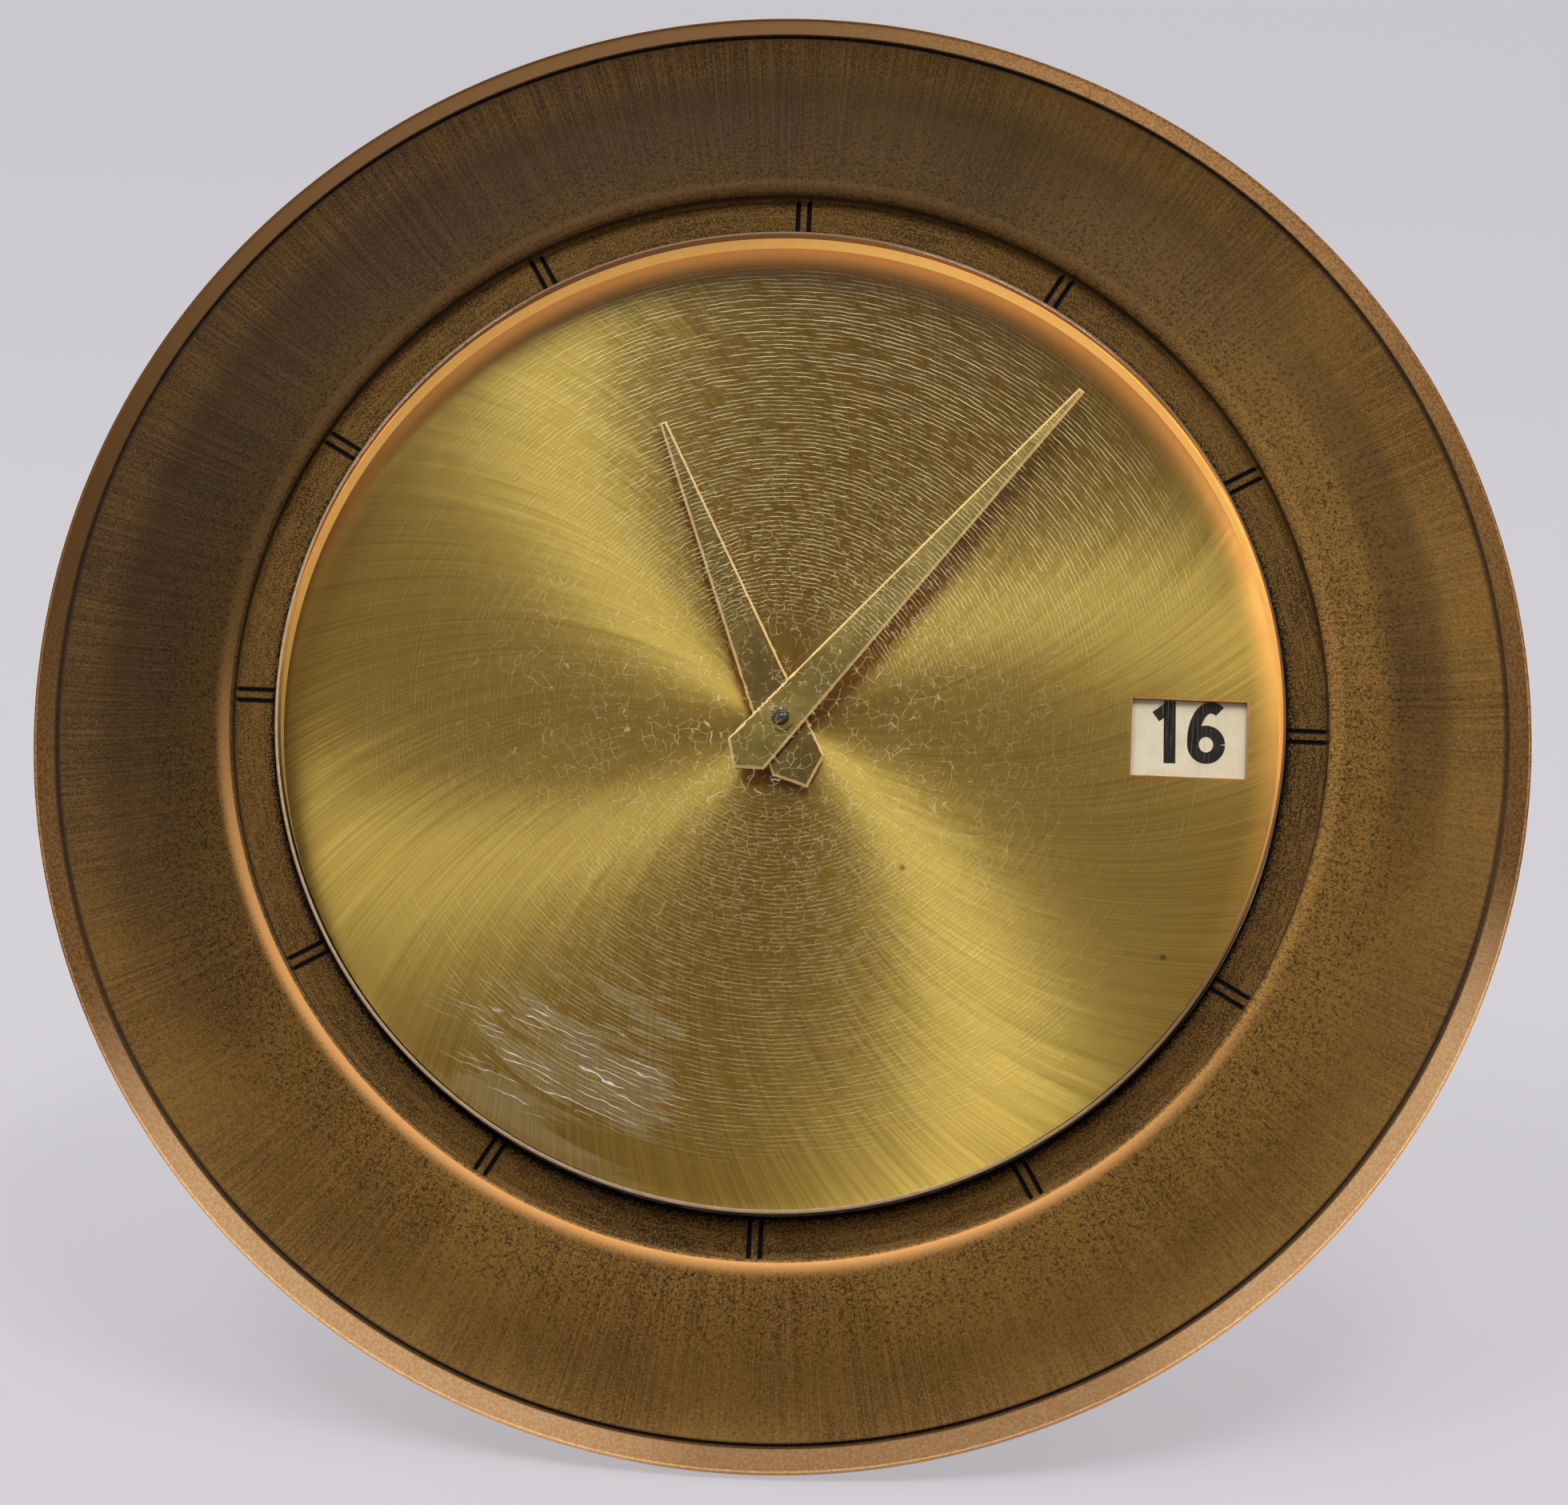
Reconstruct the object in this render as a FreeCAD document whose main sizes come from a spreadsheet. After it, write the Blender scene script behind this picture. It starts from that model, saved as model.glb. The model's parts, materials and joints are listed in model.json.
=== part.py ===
import FreeCAD, Part
import math
import os

import Sketcher

# A round desk clock with a calendar window: a dished bronze bezel with a recessed hour ring, an
# acrylic crystal, a gilt dial, an eight-day key-wound movement and a turned case that leans back
# on a brass foot.
#
# Every piece is drawn in the clock's own lathe frame: the dial's axis is Z, heights are measured
# from the crest of the bezel's lip, +Z points at the reader, +Y at twelve and +X at three.
# STANCE then leans the whole clock back on its rim and foot.

SIZES = {
    # stance: the angle between the dial and the table, in degrees
    "tilt_angle": 60,
    # bezel
    "rim_radius": 75,
    "rim_side_height": 1.5,
    "rim_foot_width": 1.6,
    "band_inner_drop": 1.55,
    "band_outer_drop": 2.95,
    "rim_band_width": 2.33,
    "groove_width": 0.62,
    "groove_depth": 0.45,
    "dish_outer_drop": 1.75,
    "dish_back_drop": 5.2,
    "cove_radius": 27.8,
    "roll_width": 2,
    "roll_drop": 0.19,
    "roll_radius": 2.6,
    "hour_ring_width": 4.25,
    "lip_edge_drop": 0.2,
    "ring_drop": 1.4,
    "shoulder_thickness": 1.2,
    "boss_wall": 6.2,
    "boss_back_drop": 9.5,
    # hour marks: two engraved lines at each hour
    "mark_count": 12,
    "mark_spacing": 0.97,
    "mark_width": 0.36,
    "mark_depth": 0.3,
    # crystal and what holds it
    "crystal_radius": 50.25,
    "crystal_fit": 0.1,
    "crystal_wall": 1.5,
    "crystal_edge_height": 0.7,
    "crystal_edge_round": 0.5,
    "crystal_top": 1.8,
    "crystal_flange_width": 1.55,
    "stack_fit": 0.2,
    "gasket_thickness": 0.3,
    "crystal_flange": 0.6,
    "dial_ring_thickness": 1.1,
    # dial
    "dial_thickness": 0.5,
    "dial_hole_radius": 3.2,
    "window_inset": 6.6,
    "window_width": 11.5,
    "window_height": 7.9,
    "dial_foot_radius": 0.8,
    "dial_foot_length": 2.2,
    "dial_foot_circle": 25,
    # calendar ring
    "day_count": 31,
    "date_ring_inset": 4.3,
    "date_ring_thickness": 0.5,
    "date_ring_gap": 0.15,
    "date_ring_fit": 0.08,
    "date_pitch_radius": 31.9,
    "date_addendum": 1.3,
    "date_dedendum": 1.1,
    "date_tip_width": 1.2,
    "date_root_width": 2.8,
    # calendar setting star
    "star_leaves": 6,
    "star_addendum": 0.626,
    "star_dedendum": 1.774,
    "star_tip_width": 1.2,
    "star_root_width": 2.2,
    "star_thickness": 0.44,
    "star_bearing": 150,
    # dial plate
    "plate_recess_gap": 0.1,
    "dial_plate_thickness": 2.05,
    "works_opening_radius": 14.5,
    # hands
    "minute_hand_gap": 3.05,
    "minute_hand_half_width": 2.4,
    "minute_hand_shoulder": 5.1,
    "minute_hand_tail": 7,
    "minute_hand_bearing": 39.4,
    "minute_hand_lift": 2,
    "hour_hand_length": 33.4,
    "hour_hand_half_width": 2.8,
    "hour_hand_shoulder": 5.1,
    "hour_hand_tail": 7.5,
    "hour_hand_bearing": 336.4,
    "hour_hand_lift": 0.85,
    "hand_tip_half_width": 0.36,
    "hand_base_thickness": 0.3,
    "hand_bevel_height": 0.25,
    "hand_bevel_angle": 45,
    # tooth form, in modules
    "tooth_addendum": 0.9,
    "tooth_dedendum": 1.2,
    "tooth_tip": 0.5,
    "wheel_tooth_root": 1.75,
    "pinion_tooth_root": 1.3,
    "leaf_tooth_root": 1.05,
    "cutter_overrun": 1.5,
    # motion work under the dial
    "running_fit": 0.05,
    "cannon_module": 0.3,
    "cannon_leaves": 12,
    "minute_wheel_teeth": 36,
    "hour_module": 0.288,
    "minute_pinion_leaves": 10,
    "hour_wheel_teeth": 40,
    "date_wheel_teeth": 80,
    "motion_wheel_thickness": 0.5,
    "motion_gap": 0.2,
    "cannon_pipe_radius": 1.45,
    "hour_pipe_radius": 1.95,
    "post_radius": 0.75,
    "minute_wheel_bearing": 160,
    "setting_bearing": 200,
    "date_wheel_bearing": 250,
    "date_finger_bite": 0.68,
    "date_finger_width": 1.8,
    "date_finger_bearing": 57,
    "date_hub_radius": 1.8,
    # arbors and pivots
    "centre_staff_radius": 0.85,
    "staff_rise": 0.6,
    "arbor_radius": 0.9,
    "small_arbor_radius": 0.6,
    "pivot_radius": 0.4,
    "pivot_depth": 1.6,
    "setting_arbor_radius": 1,
    # movement plates
    "movement_plate_radius": 33,
    "movement_plate_thickness": 2,
    "plate_gap": 17.1,
    "pillar_radius": 2.2,
    "pillar_inset": 3.5,
    "plate_screw_inset": 2,
    "plate_screw_count": 3,
    # mainspring barrel
    "barrel_module": 0.32,
    "barrel_teeth": 80,
    "barrel_distance": 19,
    "barrel_bearing": 270,
    "barrel_radius": 12.2,
    "barrel_wall": 0.8,
    "barrel_height": 9.1,
    "barrel_tooth_height": 1.6,
    "barrel_front_gap": 2.7,
    "barrel_cover_thickness": 0.7,
    "barrel_arbor_radius": 1.5,
    "barrel_hub_radius": 2.8,
    "spring_coils": 9,
    "spring_thickness": 0.35,
    "spring_margin": 0.3,
    # going train
    "intermediate_leaves": 16,
    "intermediate_module": 0.25,
    "intermediate_teeth": 64,
    "centre_leaves": 16,
    "centre_module": 0.22,
    "centre_teeth": 80,
    "third_leaves": 10,
    "third_bearing": 60,
    "third_module": 0.2,
    "third_teeth": 75,
    "fourth_leaves": 10,
    "fourth_bearing": 0,
    "fourth_module": 0.18,
    "fourth_teeth": 80,
    "escape_leaves": 8,
    "escape_bearing": 90,
    "wheel_thickness": 0.5,
    "leaf_length": 1.1,
    "centre_wheel_level": 13.1,
    "third_wheel_level": 9.6,
    "fourth_wheel_level": 5.6,
    "first_wheel_level": 1.5,
    # escapement
    "escape_teeth": 15,
    "escape_radius": 3.6,
    "escape_root_radius": 2.7,
    "escape_level": 7.7,
    "escape_thickness": 0.4,
    "fork_distance": 4.6,
    "fork_bearing": 160,
    "fork_half_span": 2.2,
    "fork_arm_width": 0.8,
    "pallet_reach": 1.18,
    "pallet_width": 0.5,
    "fork_tail_length": 3.8,
    "fork_tail_half_width": 0.3,
    "fork_horn_half_width": 0.6,
    "fork_horn_length": 0.8,
    "fork_hub_radius": 0.8,
    "fork_hub_length": 1,
    # balance
    "balance_distance": 5.2,
    "balance_radius": 7,
    "balance_rim_width": 1.1,
    "balance_thickness": 1,
    "balance_level": 14.6,
    "balance_arm_width": 1.2,
    "roller_radius": 1,
    "balance_opening_radius": 4.2,
    "hairspring_collet_radius": 0.9,
    "hairspring_coils": 6,
    "hairspring_radius": 3.3,
    "hairspring_thickness": 0.12,
    "hairspring_height": 0.4,
    "hairspring_drop": 0.5,
    "cock_thickness": 1.6,
    "cock_half_width": 3,
    "cock_length": 12,
    "cock_nose_radius": 3.6,
    "cock_bearing": 77.9,
    # winding work behind the back plate
    "ratchet_teeth": 36,
    "ratchet_radius": 7.5,
    "ratchet_tooth_depth": 0.8,
    "ratchet_thickness": 1,
    "winding_gap": 0.15,
    "click_length": 13,
    "click_height": 0.8,
    "click_blade_width": 0.7,
    "click_foot_radius": 2,
    "click_bearing": 90,
    # case back
    "flange_thickness": 2.2,
    "flange_width": 5.6,
    "spigot_wall": 3.2,
    "spigot_fit": 0.3,
    "throat_flare": 9.2,
    "case_cove_radius": 12,
    "drum_room": 3.6,
    "drum_shoulder_drop": 21.5,
    "drum_wall": 4.4,
    "rear_room": 4,
    "pad_half_width": 15,
    "pad_rise": 2,
    "pad_root": 0.8,
    "pad_length": 10,
    # back cover
    "cover_step": 0.4,
    "cover_thickness": 2,
    "cover_chamfer": 0.4,
    "key_hole_radius": 3,
    "arbor_hole_radius": 1.6,
    # key and knobs
    "knob_gap": 1,
    "key_boss_radius": 3.4,
    "key_boss_length": 6,
    "key_wing_half_width": 9.5,
    "key_wing_length": 10,
    "key_wing_thickness": 1.8,
    "key_wing_corner": 4,
    "setting_knob_radius": 5.5,
    "setting_knob_length": 7,
    "date_knob_radius": 4,
    "date_knob_length": 5,
    "knurl_depth": 0.3,
    "knurl_width": 0.7,
    "setting_knurls": 30,
    "date_knurls": 22,
    "knob_chamfer": 0.5,
    # foot
    "foot_half_width": 20,
    "foot_front_drop": 23,
    "foot_thickness": 3,
    "foot_heel_depth": 8,
    "foot_felt_thickness": 1,
    "foot_felt_margin": 0.6,
    "foot_screw_spread": 8,
    "foot_screw_place": 27.5,
    # screws: shank and head radii
    "case_screw_radius": 1.15,
    "case_screw_head": 2,
    "case_screw_count": 6,
    "cover_screw_radius": 0.95,
    "cover_screw_head": 1.7,
    "cover_screw_count": 4,
    "plate_screw_radius": 1,
    "plate_screw_head": 1.8,
    "foot_screw_radius": 1.3,
    "foot_screw_head": 2.3,
    "small_screw_radius": 0.6,
    "small_screw_head": 1.1,
    "small_screw_head_height": 0.6,
    "screw_head_height": 1.2,
    "screw_length": 4,
    "screw_fit": 0.05,
    "slot_width": 0.45,
    "slot_depth": 0.45,
    "head_recess_fit": 0.15,
    # calendar detent spring
    "jumper_bearing": 100,
    "jumper_length": 11.5,
    "jumper_foot_inset": 4.1,
    "jumper_foot_thickness": 0.3,
    "jumper_screw_head_height": 0.4,
    "jumper_blade_width": 0.7,
    "jumper_nose_reach": 1.5,
    "jumper_foot_radius": 2,
}

doc = FreeCAD.newDocument("desk_clock")
sheet = doc.addObject("Spreadsheet::Sheet", "Sizes")
for row, (alias, number) in enumerate(SIZES.items(), start=1):
    sheet.set(f"A{row}", alias)
    sheet.set(f"B{row}", str(number))
    sheet.setAlias(f"B{row}", alias)
doc.recompute()


class Size:
    """A size and the spreadsheet formula that gives it: sums and products keep both in step."""

    def __init__(self, number, formula):
        self.number = number
        self.formula = formula

    def __float__(self):
        return float(self.number)

    def __add__(self, other):
        other = as_size(other)
        return Size(self.number + other.number, f"({self.formula} + {other.formula})")

    def __radd__(self, other):
        return as_size(other) + self

    def __sub__(self, other):
        other = as_size(other)
        return Size(self.number - other.number, f"({self.formula} - {other.formula})")

    def __rsub__(self, other):
        return as_size(other) - self

    def __mul__(self, other):
        other = as_size(other)
        return Size(self.number * other.number, f"({self.formula} * {other.formula})")

    def __rmul__(self, other):
        return as_size(other) * self

    def __truediv__(self, other):
        other = as_size(other)
        return Size(self.number / other.number, f"({self.formula} / {other.formula})")

    def __rtruediv__(self, other):
        return as_size(other) / self

    def __neg__(self):
        return Size(-self.number, f"(0 - {self.formula})")


def as_size(value):
    return value if isinstance(value, Size) else Size(value, repr(value))


def sine(angle):
    angle = as_size(angle)
    return Size(math.sin(math.radians(angle.number)), f"sin({angle.formula})")


def cosine(angle):
    angle = as_size(angle)
    return Size(math.cos(math.radians(angle.number)), f"cos({angle.formula})")


def arccosine(value):
    """An angle as a plain number of degrees."""
    return Size(math.degrees(math.acos(value.number)), f"(acos({value.formula}) / 1deg)")


class Sizes:
    """s.rim_radius is the sheet's cell of that name."""

    def __getattr__(self, alias):
        return Size(float(sheet.get(alias)), f"Sizes.{alias}")


s = Sizes()
ZERO = Size(0.0, "0")
FULL_TURN = 360
HALF_TURN = 180
QUARTER_TURN = 90

# ---------------------------------------------------------------------------
# Levels along the dial's axis, from the front of the clock to its back
# ---------------------------------------------------------------------------
ring_floor = -s.ring_drop
shoulder = ring_floor - s.shoulder_thickness
flange_front = shoulder - s.gasket_thickness
flange_back = flange_front - s.crystal_flange
dial_front = flange_back - s.dial_ring_thickness
dial_back = dial_front - s.dial_thickness
date_ring_front = dial_back - s.date_ring_gap
date_ring_back = date_ring_front - s.date_ring_thickness
dial_plate_front = date_ring_back - s.plate_recess_gap
dial_plate_back = dial_plate_front - s.dial_plate_thickness
front_plate_back = dial_plate_back - s.movement_plate_thickness
back_plate_front = front_plate_back - s.plate_gap
back_plate_back = back_plate_front - s.movement_plate_thickness
cover_front = back_plate_back - s.rear_room
cover_back = cover_front - s.cover_thickness
knob_front = cover_back - s.knob_gap
boss_back = -s.boss_back_drop
rim_bottom = -s.band_outer_drop - s.rim_side_height
bore_radius = s.crystal_radius + s.crystal_fit
lip_radius = bore_radius + s.hour_ring_width
stack_radius = s.crystal_radius + s.crystal_flange_width
seat_radius = stack_radius + s.stack_fit
boss_radius = seat_radius + s.boss_wall
case_screw_circle = (boss_radius + seat_radius) / 2
flange_foot_radius = boss_radius - s.flange_width
spigot_radius = seat_radius - s.spigot_fit
spigot_inner_radius = spigot_radius - s.spigot_wall
date_ring_radius = stack_radius - s.date_ring_inset
window_radius = date_ring_radius - s.window_inset
minute_hand_length = s.crystal_radius - s.crystal_wall - s.minute_hand_gap
groove_radius = s.rim_radius - s.rim_band_width
drum_inner_radius = s.movement_plate_radius + s.drum_room
drum_radius = drum_inner_radius + s.drum_wall
throat_radius = drum_inner_radius + s.throat_flare
cover_radius = drum_radius - s.cover_step
cover_screw_circle = drum_radius - s.drum_wall / 2
pad_drop = drum_radius + s.pad_rise

# stance: the rim's lower edge and the foot's felt both touch the table
sin_tilt = sine(s.tilt_angle)
cos_tilt = cosine(s.tilt_angle)
stand_lift = s.rim_radius * sin_tilt - rim_bottom * cos_tilt
front_reach = s.rim_radius * cos_tilt - s.band_outer_drop * sin_tilt
back_reach = (cover_radius - s.cover_chamfer) * cos_tilt - cover_back * sin_tilt
stand_back = (front_reach - back_reach) / 2
STANCE = FreeCAD.Placement(
    FreeCAD.Vector(0, float(stand_back), float(stand_lift)),
    FreeCAD.Rotation(FreeCAD.Vector(1, 0, 0), float(s.tilt_angle)),
)


date_tip_radius = s.date_pitch_radius - s.date_addendum
date_root_radius = s.date_pitch_radius + s.date_dedendum


def polar(distance, bearing):
    """The point at a distance from the dial's axis, its bearing counted from three o'clock."""
    return distance * cosine(bearing), distance * sine(bearing)


def step_from(start, distance, bearing):
    across, up = polar(distance, bearing)
    return start[0] + across, start[1] + up


def seat(piece, spot=(ZERO, ZERO), turn=0.0):
    """Puts a piece, drawn about its own axis, at its spot on the dial plane, turned in degrees."""
    place = FreeCAD.Vector(float(spot[0]), float(spot[1]), 0)
    spin = FreeCAD.Rotation(FreeCAD.Vector(0, 0, 1), float(turn))
    piece.Placement = STANCE.multiply(FreeCAD.Placement(place, spin))
    return piece


# ---------------------------------------------------------------------------
# Drawing and turning
# ---------------------------------------------------------------------------
NODES = []


def new_body(label, is_node=True):
    body = doc.addObject("PartDesign::Body", label)
    body.Label = label
    body.AllowCompound = True
    if is_node:
        NODES.append(body)
    return body


def origin_feature(body, role):
    return next(part for part in body.Origin.OriginFeatures if part.Role == role)


def new_sketch(body, role, level=ZERO):
    """A sketch on one of the body's own planes, lifted along the plane's normal to a level."""
    sketch = body.newObject("Sketcher::SketchObject", "Sketch")
    sketch.AttachmentSupport = [(origin_feature(body, role), "")]
    sketch.MapMode = "FlatFace"
    level = as_size(level)
    sketch.AttachmentOffset = FreeCAD.Placement(
        FreeCAD.Vector(0, 0, float(level)), FreeCAD.Rotation()
    )
    sketch.setExpression("AttachmentOffset.Base.z", level.formula)
    return sketch


def pin_point(sketch, curve, end, across, up):
    for kind, distance in (("DistanceX", across), ("DistanceY", up)):
        distance = as_size(distance)
        datum = Sketcher.Constraint(kind, -1, 1, curve, end, float(distance))
        sketch.setExpression(f"Constraints[{sketch.addConstraint(datum)}]", distance.formula)


def arc_between(start, finish, bend):
    """The shorter arc between two points: a positive bend turns left, a negative one right."""
    chord = finish - start
    radius = abs(bend)
    rise = math.sqrt(max(radius**2 - (chord.Length / 2) ** 2, 0))
    left = FreeCAD.Vector(-chord.y, chord.x, 0).normalize()
    centre = start + chord * 0.5 + left * math.copysign(rise, bend)
    first, last = (start, finish) if bend > 0 else (finish, start)
    angles = [math.atan2(point.y - centre.y, point.x - centre.x) for point in (first, last)]
    if angles[1] < angles[0]:
        angles[1] += 2 * math.pi
    circle = Part.Circle(centre, FreeCAD.Vector(0, 0, 1), radius)
    return Part.ArcOfCircle(circle, angles[0], angles[1])


def draw_outline(sketch, corners):
    """A closed outline. A corner is (across, up), or (across, up, bend) where an arc leads on
    from it: the arc's radius, positive where the way turns left."""
    points = [FreeCAD.Vector(float(c[0]), float(c[1]), 0) for c in corners]
    first_curve = sketch.GeometryCount
    ends = []
    for index, corner in enumerate(corners):
        start, finish = points[index], points[(index + 1) % len(points)]
        bend = as_size(corner[2]) if len(corner) > 2 else None
        if bend is None:
            sketch.addGeometry(Part.LineSegment(start, finish), False)
            ends.append((1, 2))
        else:
            curve = sketch.addGeometry(arc_between(start, finish, float(bend)), False)
            radius = bend if float(bend) > 0 else -bend
            datum = Sketcher.Constraint("Radius", curve, float(radius))
            sketch.setExpression(f"Constraints[{sketch.addConstraint(datum)}]", radius.formula)
            ends.append((1, 2) if float(bend) > 0 else (2, 1))
    for index, corner in enumerate(corners):
        curve, following = first_curve + index, first_curve + (index + 1) % len(corners)
        joint = Sketcher.Constraint(
            "Coincident", curve, ends[index][1], following, ends[(index + 1) % len(corners)][0]
        )
        sketch.addConstraint(joint)
        pin_point(sketch, curve, ends[index][0], corner[0], corner[1])
    return sketch


def draw_circles(sketch, spots, radius):
    radius = as_size(radius)
    for across, up in spots:
        centre = FreeCAD.Vector(float(across), float(up), 0)
        circle = Part.Circle(centre, FreeCAD.Vector(0, 0, 1), float(radius))
        curve = sketch.addGeometry(circle, False)
        pin_point(sketch, curve, 3, across, up)
        datum = Sketcher.Constraint("Radius", curve, float(radius))
        sketch.setExpression(f"Constraints[{sketch.addConstraint(datum)}]", radius.formula)
    return sketch


def turn(body, section):
    """Revolves a section of (radius, height) corners about the dial's axis."""
    sketch = draw_outline(new_sketch(body, "XZ_Plane"), section)
    revolution = body.newObject("PartDesign::Revolution", "Revolution")
    revolution.Profile = sketch
    revolution.ReferenceAxis = (sketch, ["V_Axis"])
    revolution.Angle = FULL_TURN
    revolution.Refine = False
    return revolution


def raise_up(body, sketch, height, taper=None):
    """Pads a sketch towards the reader."""
    pad = body.newObject("PartDesign::Pad", "Pad")
    pad.Profile = sketch
    pad.setExpression("Length", as_size(height).formula)
    pad.Refine = False
    if taper is not None:
        pad.setExpression("TaperAngle", as_size(taper).formula)
    return pad


def sink(body, sketch, depth, forwards=False):
    """Cuts a sketch into the body, away from the reader, or towards the reader if forwards."""
    doc.recompute()
    before = body.Shape.Volume
    pocket = body.newObject("PartDesign::Pocket", "Pocket")
    pocket.Profile = sketch
    pocket.Reversed = forwards
    pocket.setExpression("Length", as_size(depth).formula)
    pocket.Refine = False
    doc.recompute()
    if not pocket.Shape.Volume < before:
        raise ValueError(f"a cut in {body.Label} takes nothing away")
    return pocket


def ring_of(body, feature, count):
    """Repeats a cut or a pad around the body's own axis."""
    pattern = body.newObject("PartDesign::PolarPattern", "PolarPattern")
    pattern.Originals = [feature]
    pattern.Axis = (origin_feature(body, "Z_Axis"), [""])
    pattern.Angle = FULL_TURN
    pattern.setExpression("Occurrences", as_size(count).formula)
    pattern.Refine = False
    body.Tip = pattern
    return pattern


def ring_section(inner, outer, bottom, top):
    return [(inner, bottom), (outer, bottom), (outer, top), (inner, top)]


def rod_section(bottom, steps):
    """The half section of a stepped rod: each step is its radius and the height it ends at."""
    corners = [(ZERO, bottom)]
    level = bottom
    for radius, top in steps:
        corners += [(radius, level), (radius, top)]
        level = top
    return corners + [(ZERO, level)]


def bore(body, spots, radius, level, depth, forwards=False):
    """Round holes of one depth, which start at a level."""
    sketch = draw_circles(new_sketch(body, "XY_Plane", level), spots, radius)
    return sink(body, sketch, depth, forwards)


def around(circle, count, first_bearing=0):
    """Spots spread evenly on a circle."""
    step = FULL_TURN / int(float(count))
    return [polar(circle, first_bearing + step * index) for index in range(int(float(count)))]


def bar_outline(half_length, half_width, centre=(ZERO, ZERO)):
    return [
        (centre[0] - half_length, centre[1] - half_width),
        (centre[0] + half_length, centre[1] - half_width),
        (centre[0] + half_length, centre[1] + half_width),
        (centre[0] - half_length, centre[1] + half_width),
    ]


def cut_gaps(body, count, tip, root, bottom, top):
    """Cuts the gaps between teeth. tip and root are (radius, tooth width) there, and the cutter
    runs on past the tip by a share of the tooth's depth."""
    half_pitch = HALF_TURN / as_size(count)

    def flank(radius, width):
        return (
            radius * cosine(half_pitch) + width / 2 * sine(half_pitch),
            radius * sine(half_pitch) - width / 2 * cosine(half_pitch),
        )

    tip_x, tip_y = flank(*tip)
    root_x, root_y = flank(*root)
    far_x = root_x + (tip_x - root_x) * s.cutter_overrun
    far_y = root_y + (tip_y - root_y) * s.cutter_overrun
    corners = [(root_x, -root_y), (far_x, -far_y), (far_x, far_y), (root_x, root_y)]
    if float(far_x) < float(root_x):
        corners.reverse()
    sketch = draw_outline(new_sketch(body, "XY_Plane", top), corners)
    return ring_of(body, sink(body, sketch, top - bottom), count)


class Gear:
    """The radii of a toothed wheel, from its tooth count and module."""

    def __init__(self, teeth, module):
        self.teeth = teeth
        self.module = module
        self.pitch = teeth * module / 2
        self.tip = self.pitch + s.tooth_addendum * module
        self.root = self.pitch - s.tooth_dedendum * module
        few, several = s.escape_leaves, s.intermediate_leaves
        if float(teeth) <= float(few):
            self.root_width = s.leaf_tooth_root * module
        elif float(teeth) <= float(several):
            self.root_width = s.pinion_tooth_root * module
        else:
            self.root_width = s.wheel_tooth_root * module
        self.tip_width = s.tooth_tip * module

    def cut(self, body, bottom, top):
        cut_gaps(
            body,
            self.teeth,
            (self.tip, self.tip_width),
            (self.root, self.root_width),
            bottom,
            top,
        )


def meshed_turn(driver, driver_turn, bearing, driven):
    """How far the driven wheel is turned, in degrees, so that its teeth stand in the driver's
    gaps. The bearing is that of the driven wheel's axis, seen from the driver's."""
    pitch = FULL_TURN / float(driver.teeth)
    other_pitch = FULL_TURN / float(driven.teeth)
    first_tooth = driver_turn + pitch / 2
    share = ((float(bearing) - first_tooth) / pitch) % 1
    facing_tooth = float(bearing) + HALF_TURN - other_pitch * (0.5 - share)
    return facing_tooth - other_pitch / 2


def screws(label, spots, shank, head, head_base, shank_end, backwards=True, height=None):
    """Slotted cheese-head screws whose heads stand on a level and whose shanks run on to
    another. Backwards means that the heads point away from the reader."""
    height = s.screw_head_height if height is None else height
    body = new_body(label)
    low = head_base - height if backwards else head_base
    shank_low = head_base if backwards else shank_end
    shank_high = shank_end if backwards else head_base
    raise_up(body, draw_circles(new_sketch(body, "XY_Plane", low), spots, head), height)
    shanks = draw_circles(new_sketch(body, "XY_Plane", shank_low), spots, shank)
    raise_up(body, shanks, shank_high - shank_low)
    top = low if backwards else low + height
    slots = new_sketch(body, "XY_Plane", top)
    for spot in spots:
        draw_outline(slots, bar_outline(head * s.cutter_overrun, s.slot_width / 2, spot))
    sink(body, slots, s.slot_depth, forwards=backwards)
    return seat(body)


# ---------------------------------------------------------------------------
# Where the arbors stand on the plates
# ---------------------------------------------------------------------------
CENTRE = (ZERO, ZERO)
cannon = Gear(s.cannon_leaves, s.cannon_module)
minute_gear = Gear(s.minute_wheel_teeth, s.cannon_module)
minute_pinion = Gear(s.minute_pinion_leaves, s.hour_module)
hour_gear = Gear(s.hour_wheel_teeth, s.hour_module)
date_gear = Gear(s.date_wheel_teeth, s.hour_module)
barrel_gear = Gear(s.barrel_teeth, s.barrel_module)
intermediate_pinion = Gear(s.intermediate_leaves, s.barrel_module)
intermediate_gear = Gear(s.intermediate_teeth, s.intermediate_module)
centre_pinion = Gear(s.centre_leaves, s.intermediate_module)
centre_gear = Gear(s.centre_teeth, s.centre_module)
third_pinion = Gear(s.third_leaves, s.centre_module)
third_gear = Gear(s.third_teeth, s.third_module)
fourth_pinion = Gear(s.fourth_leaves, s.third_module)
fourth_gear = Gear(s.fourth_teeth, s.fourth_module)
escape_pinion = Gear(s.escape_leaves, s.fourth_module)

minute_spot = polar(cannon.pitch + minute_gear.pitch, s.minute_wheel_bearing)
# the setting pinion has the cannon pinion's leaves and stands as far from the minute wheel,
# so the three arbors make an isosceles triangle
setting_approach = 2 * s.setting_bearing - s.minute_wheel_bearing
setting_spot = step_from(minute_spot, cannon.pitch + minute_gear.pitch, setting_approach)
date_wheel_spot = polar(hour_gear.pitch + date_gear.pitch, s.date_wheel_bearing)
date_finger_length = date_tip_radius - (hour_gear.pitch + date_gear.pitch) + s.date_finger_bite
star_pitch = s.date_pitch_radius * s.star_leaves / s.day_count
star_tip_radius = star_pitch + s.star_addendum
star_root_radius = star_pitch - s.star_dedendum
star_spot = polar(s.date_pitch_radius - star_pitch, s.star_bearing)

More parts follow.
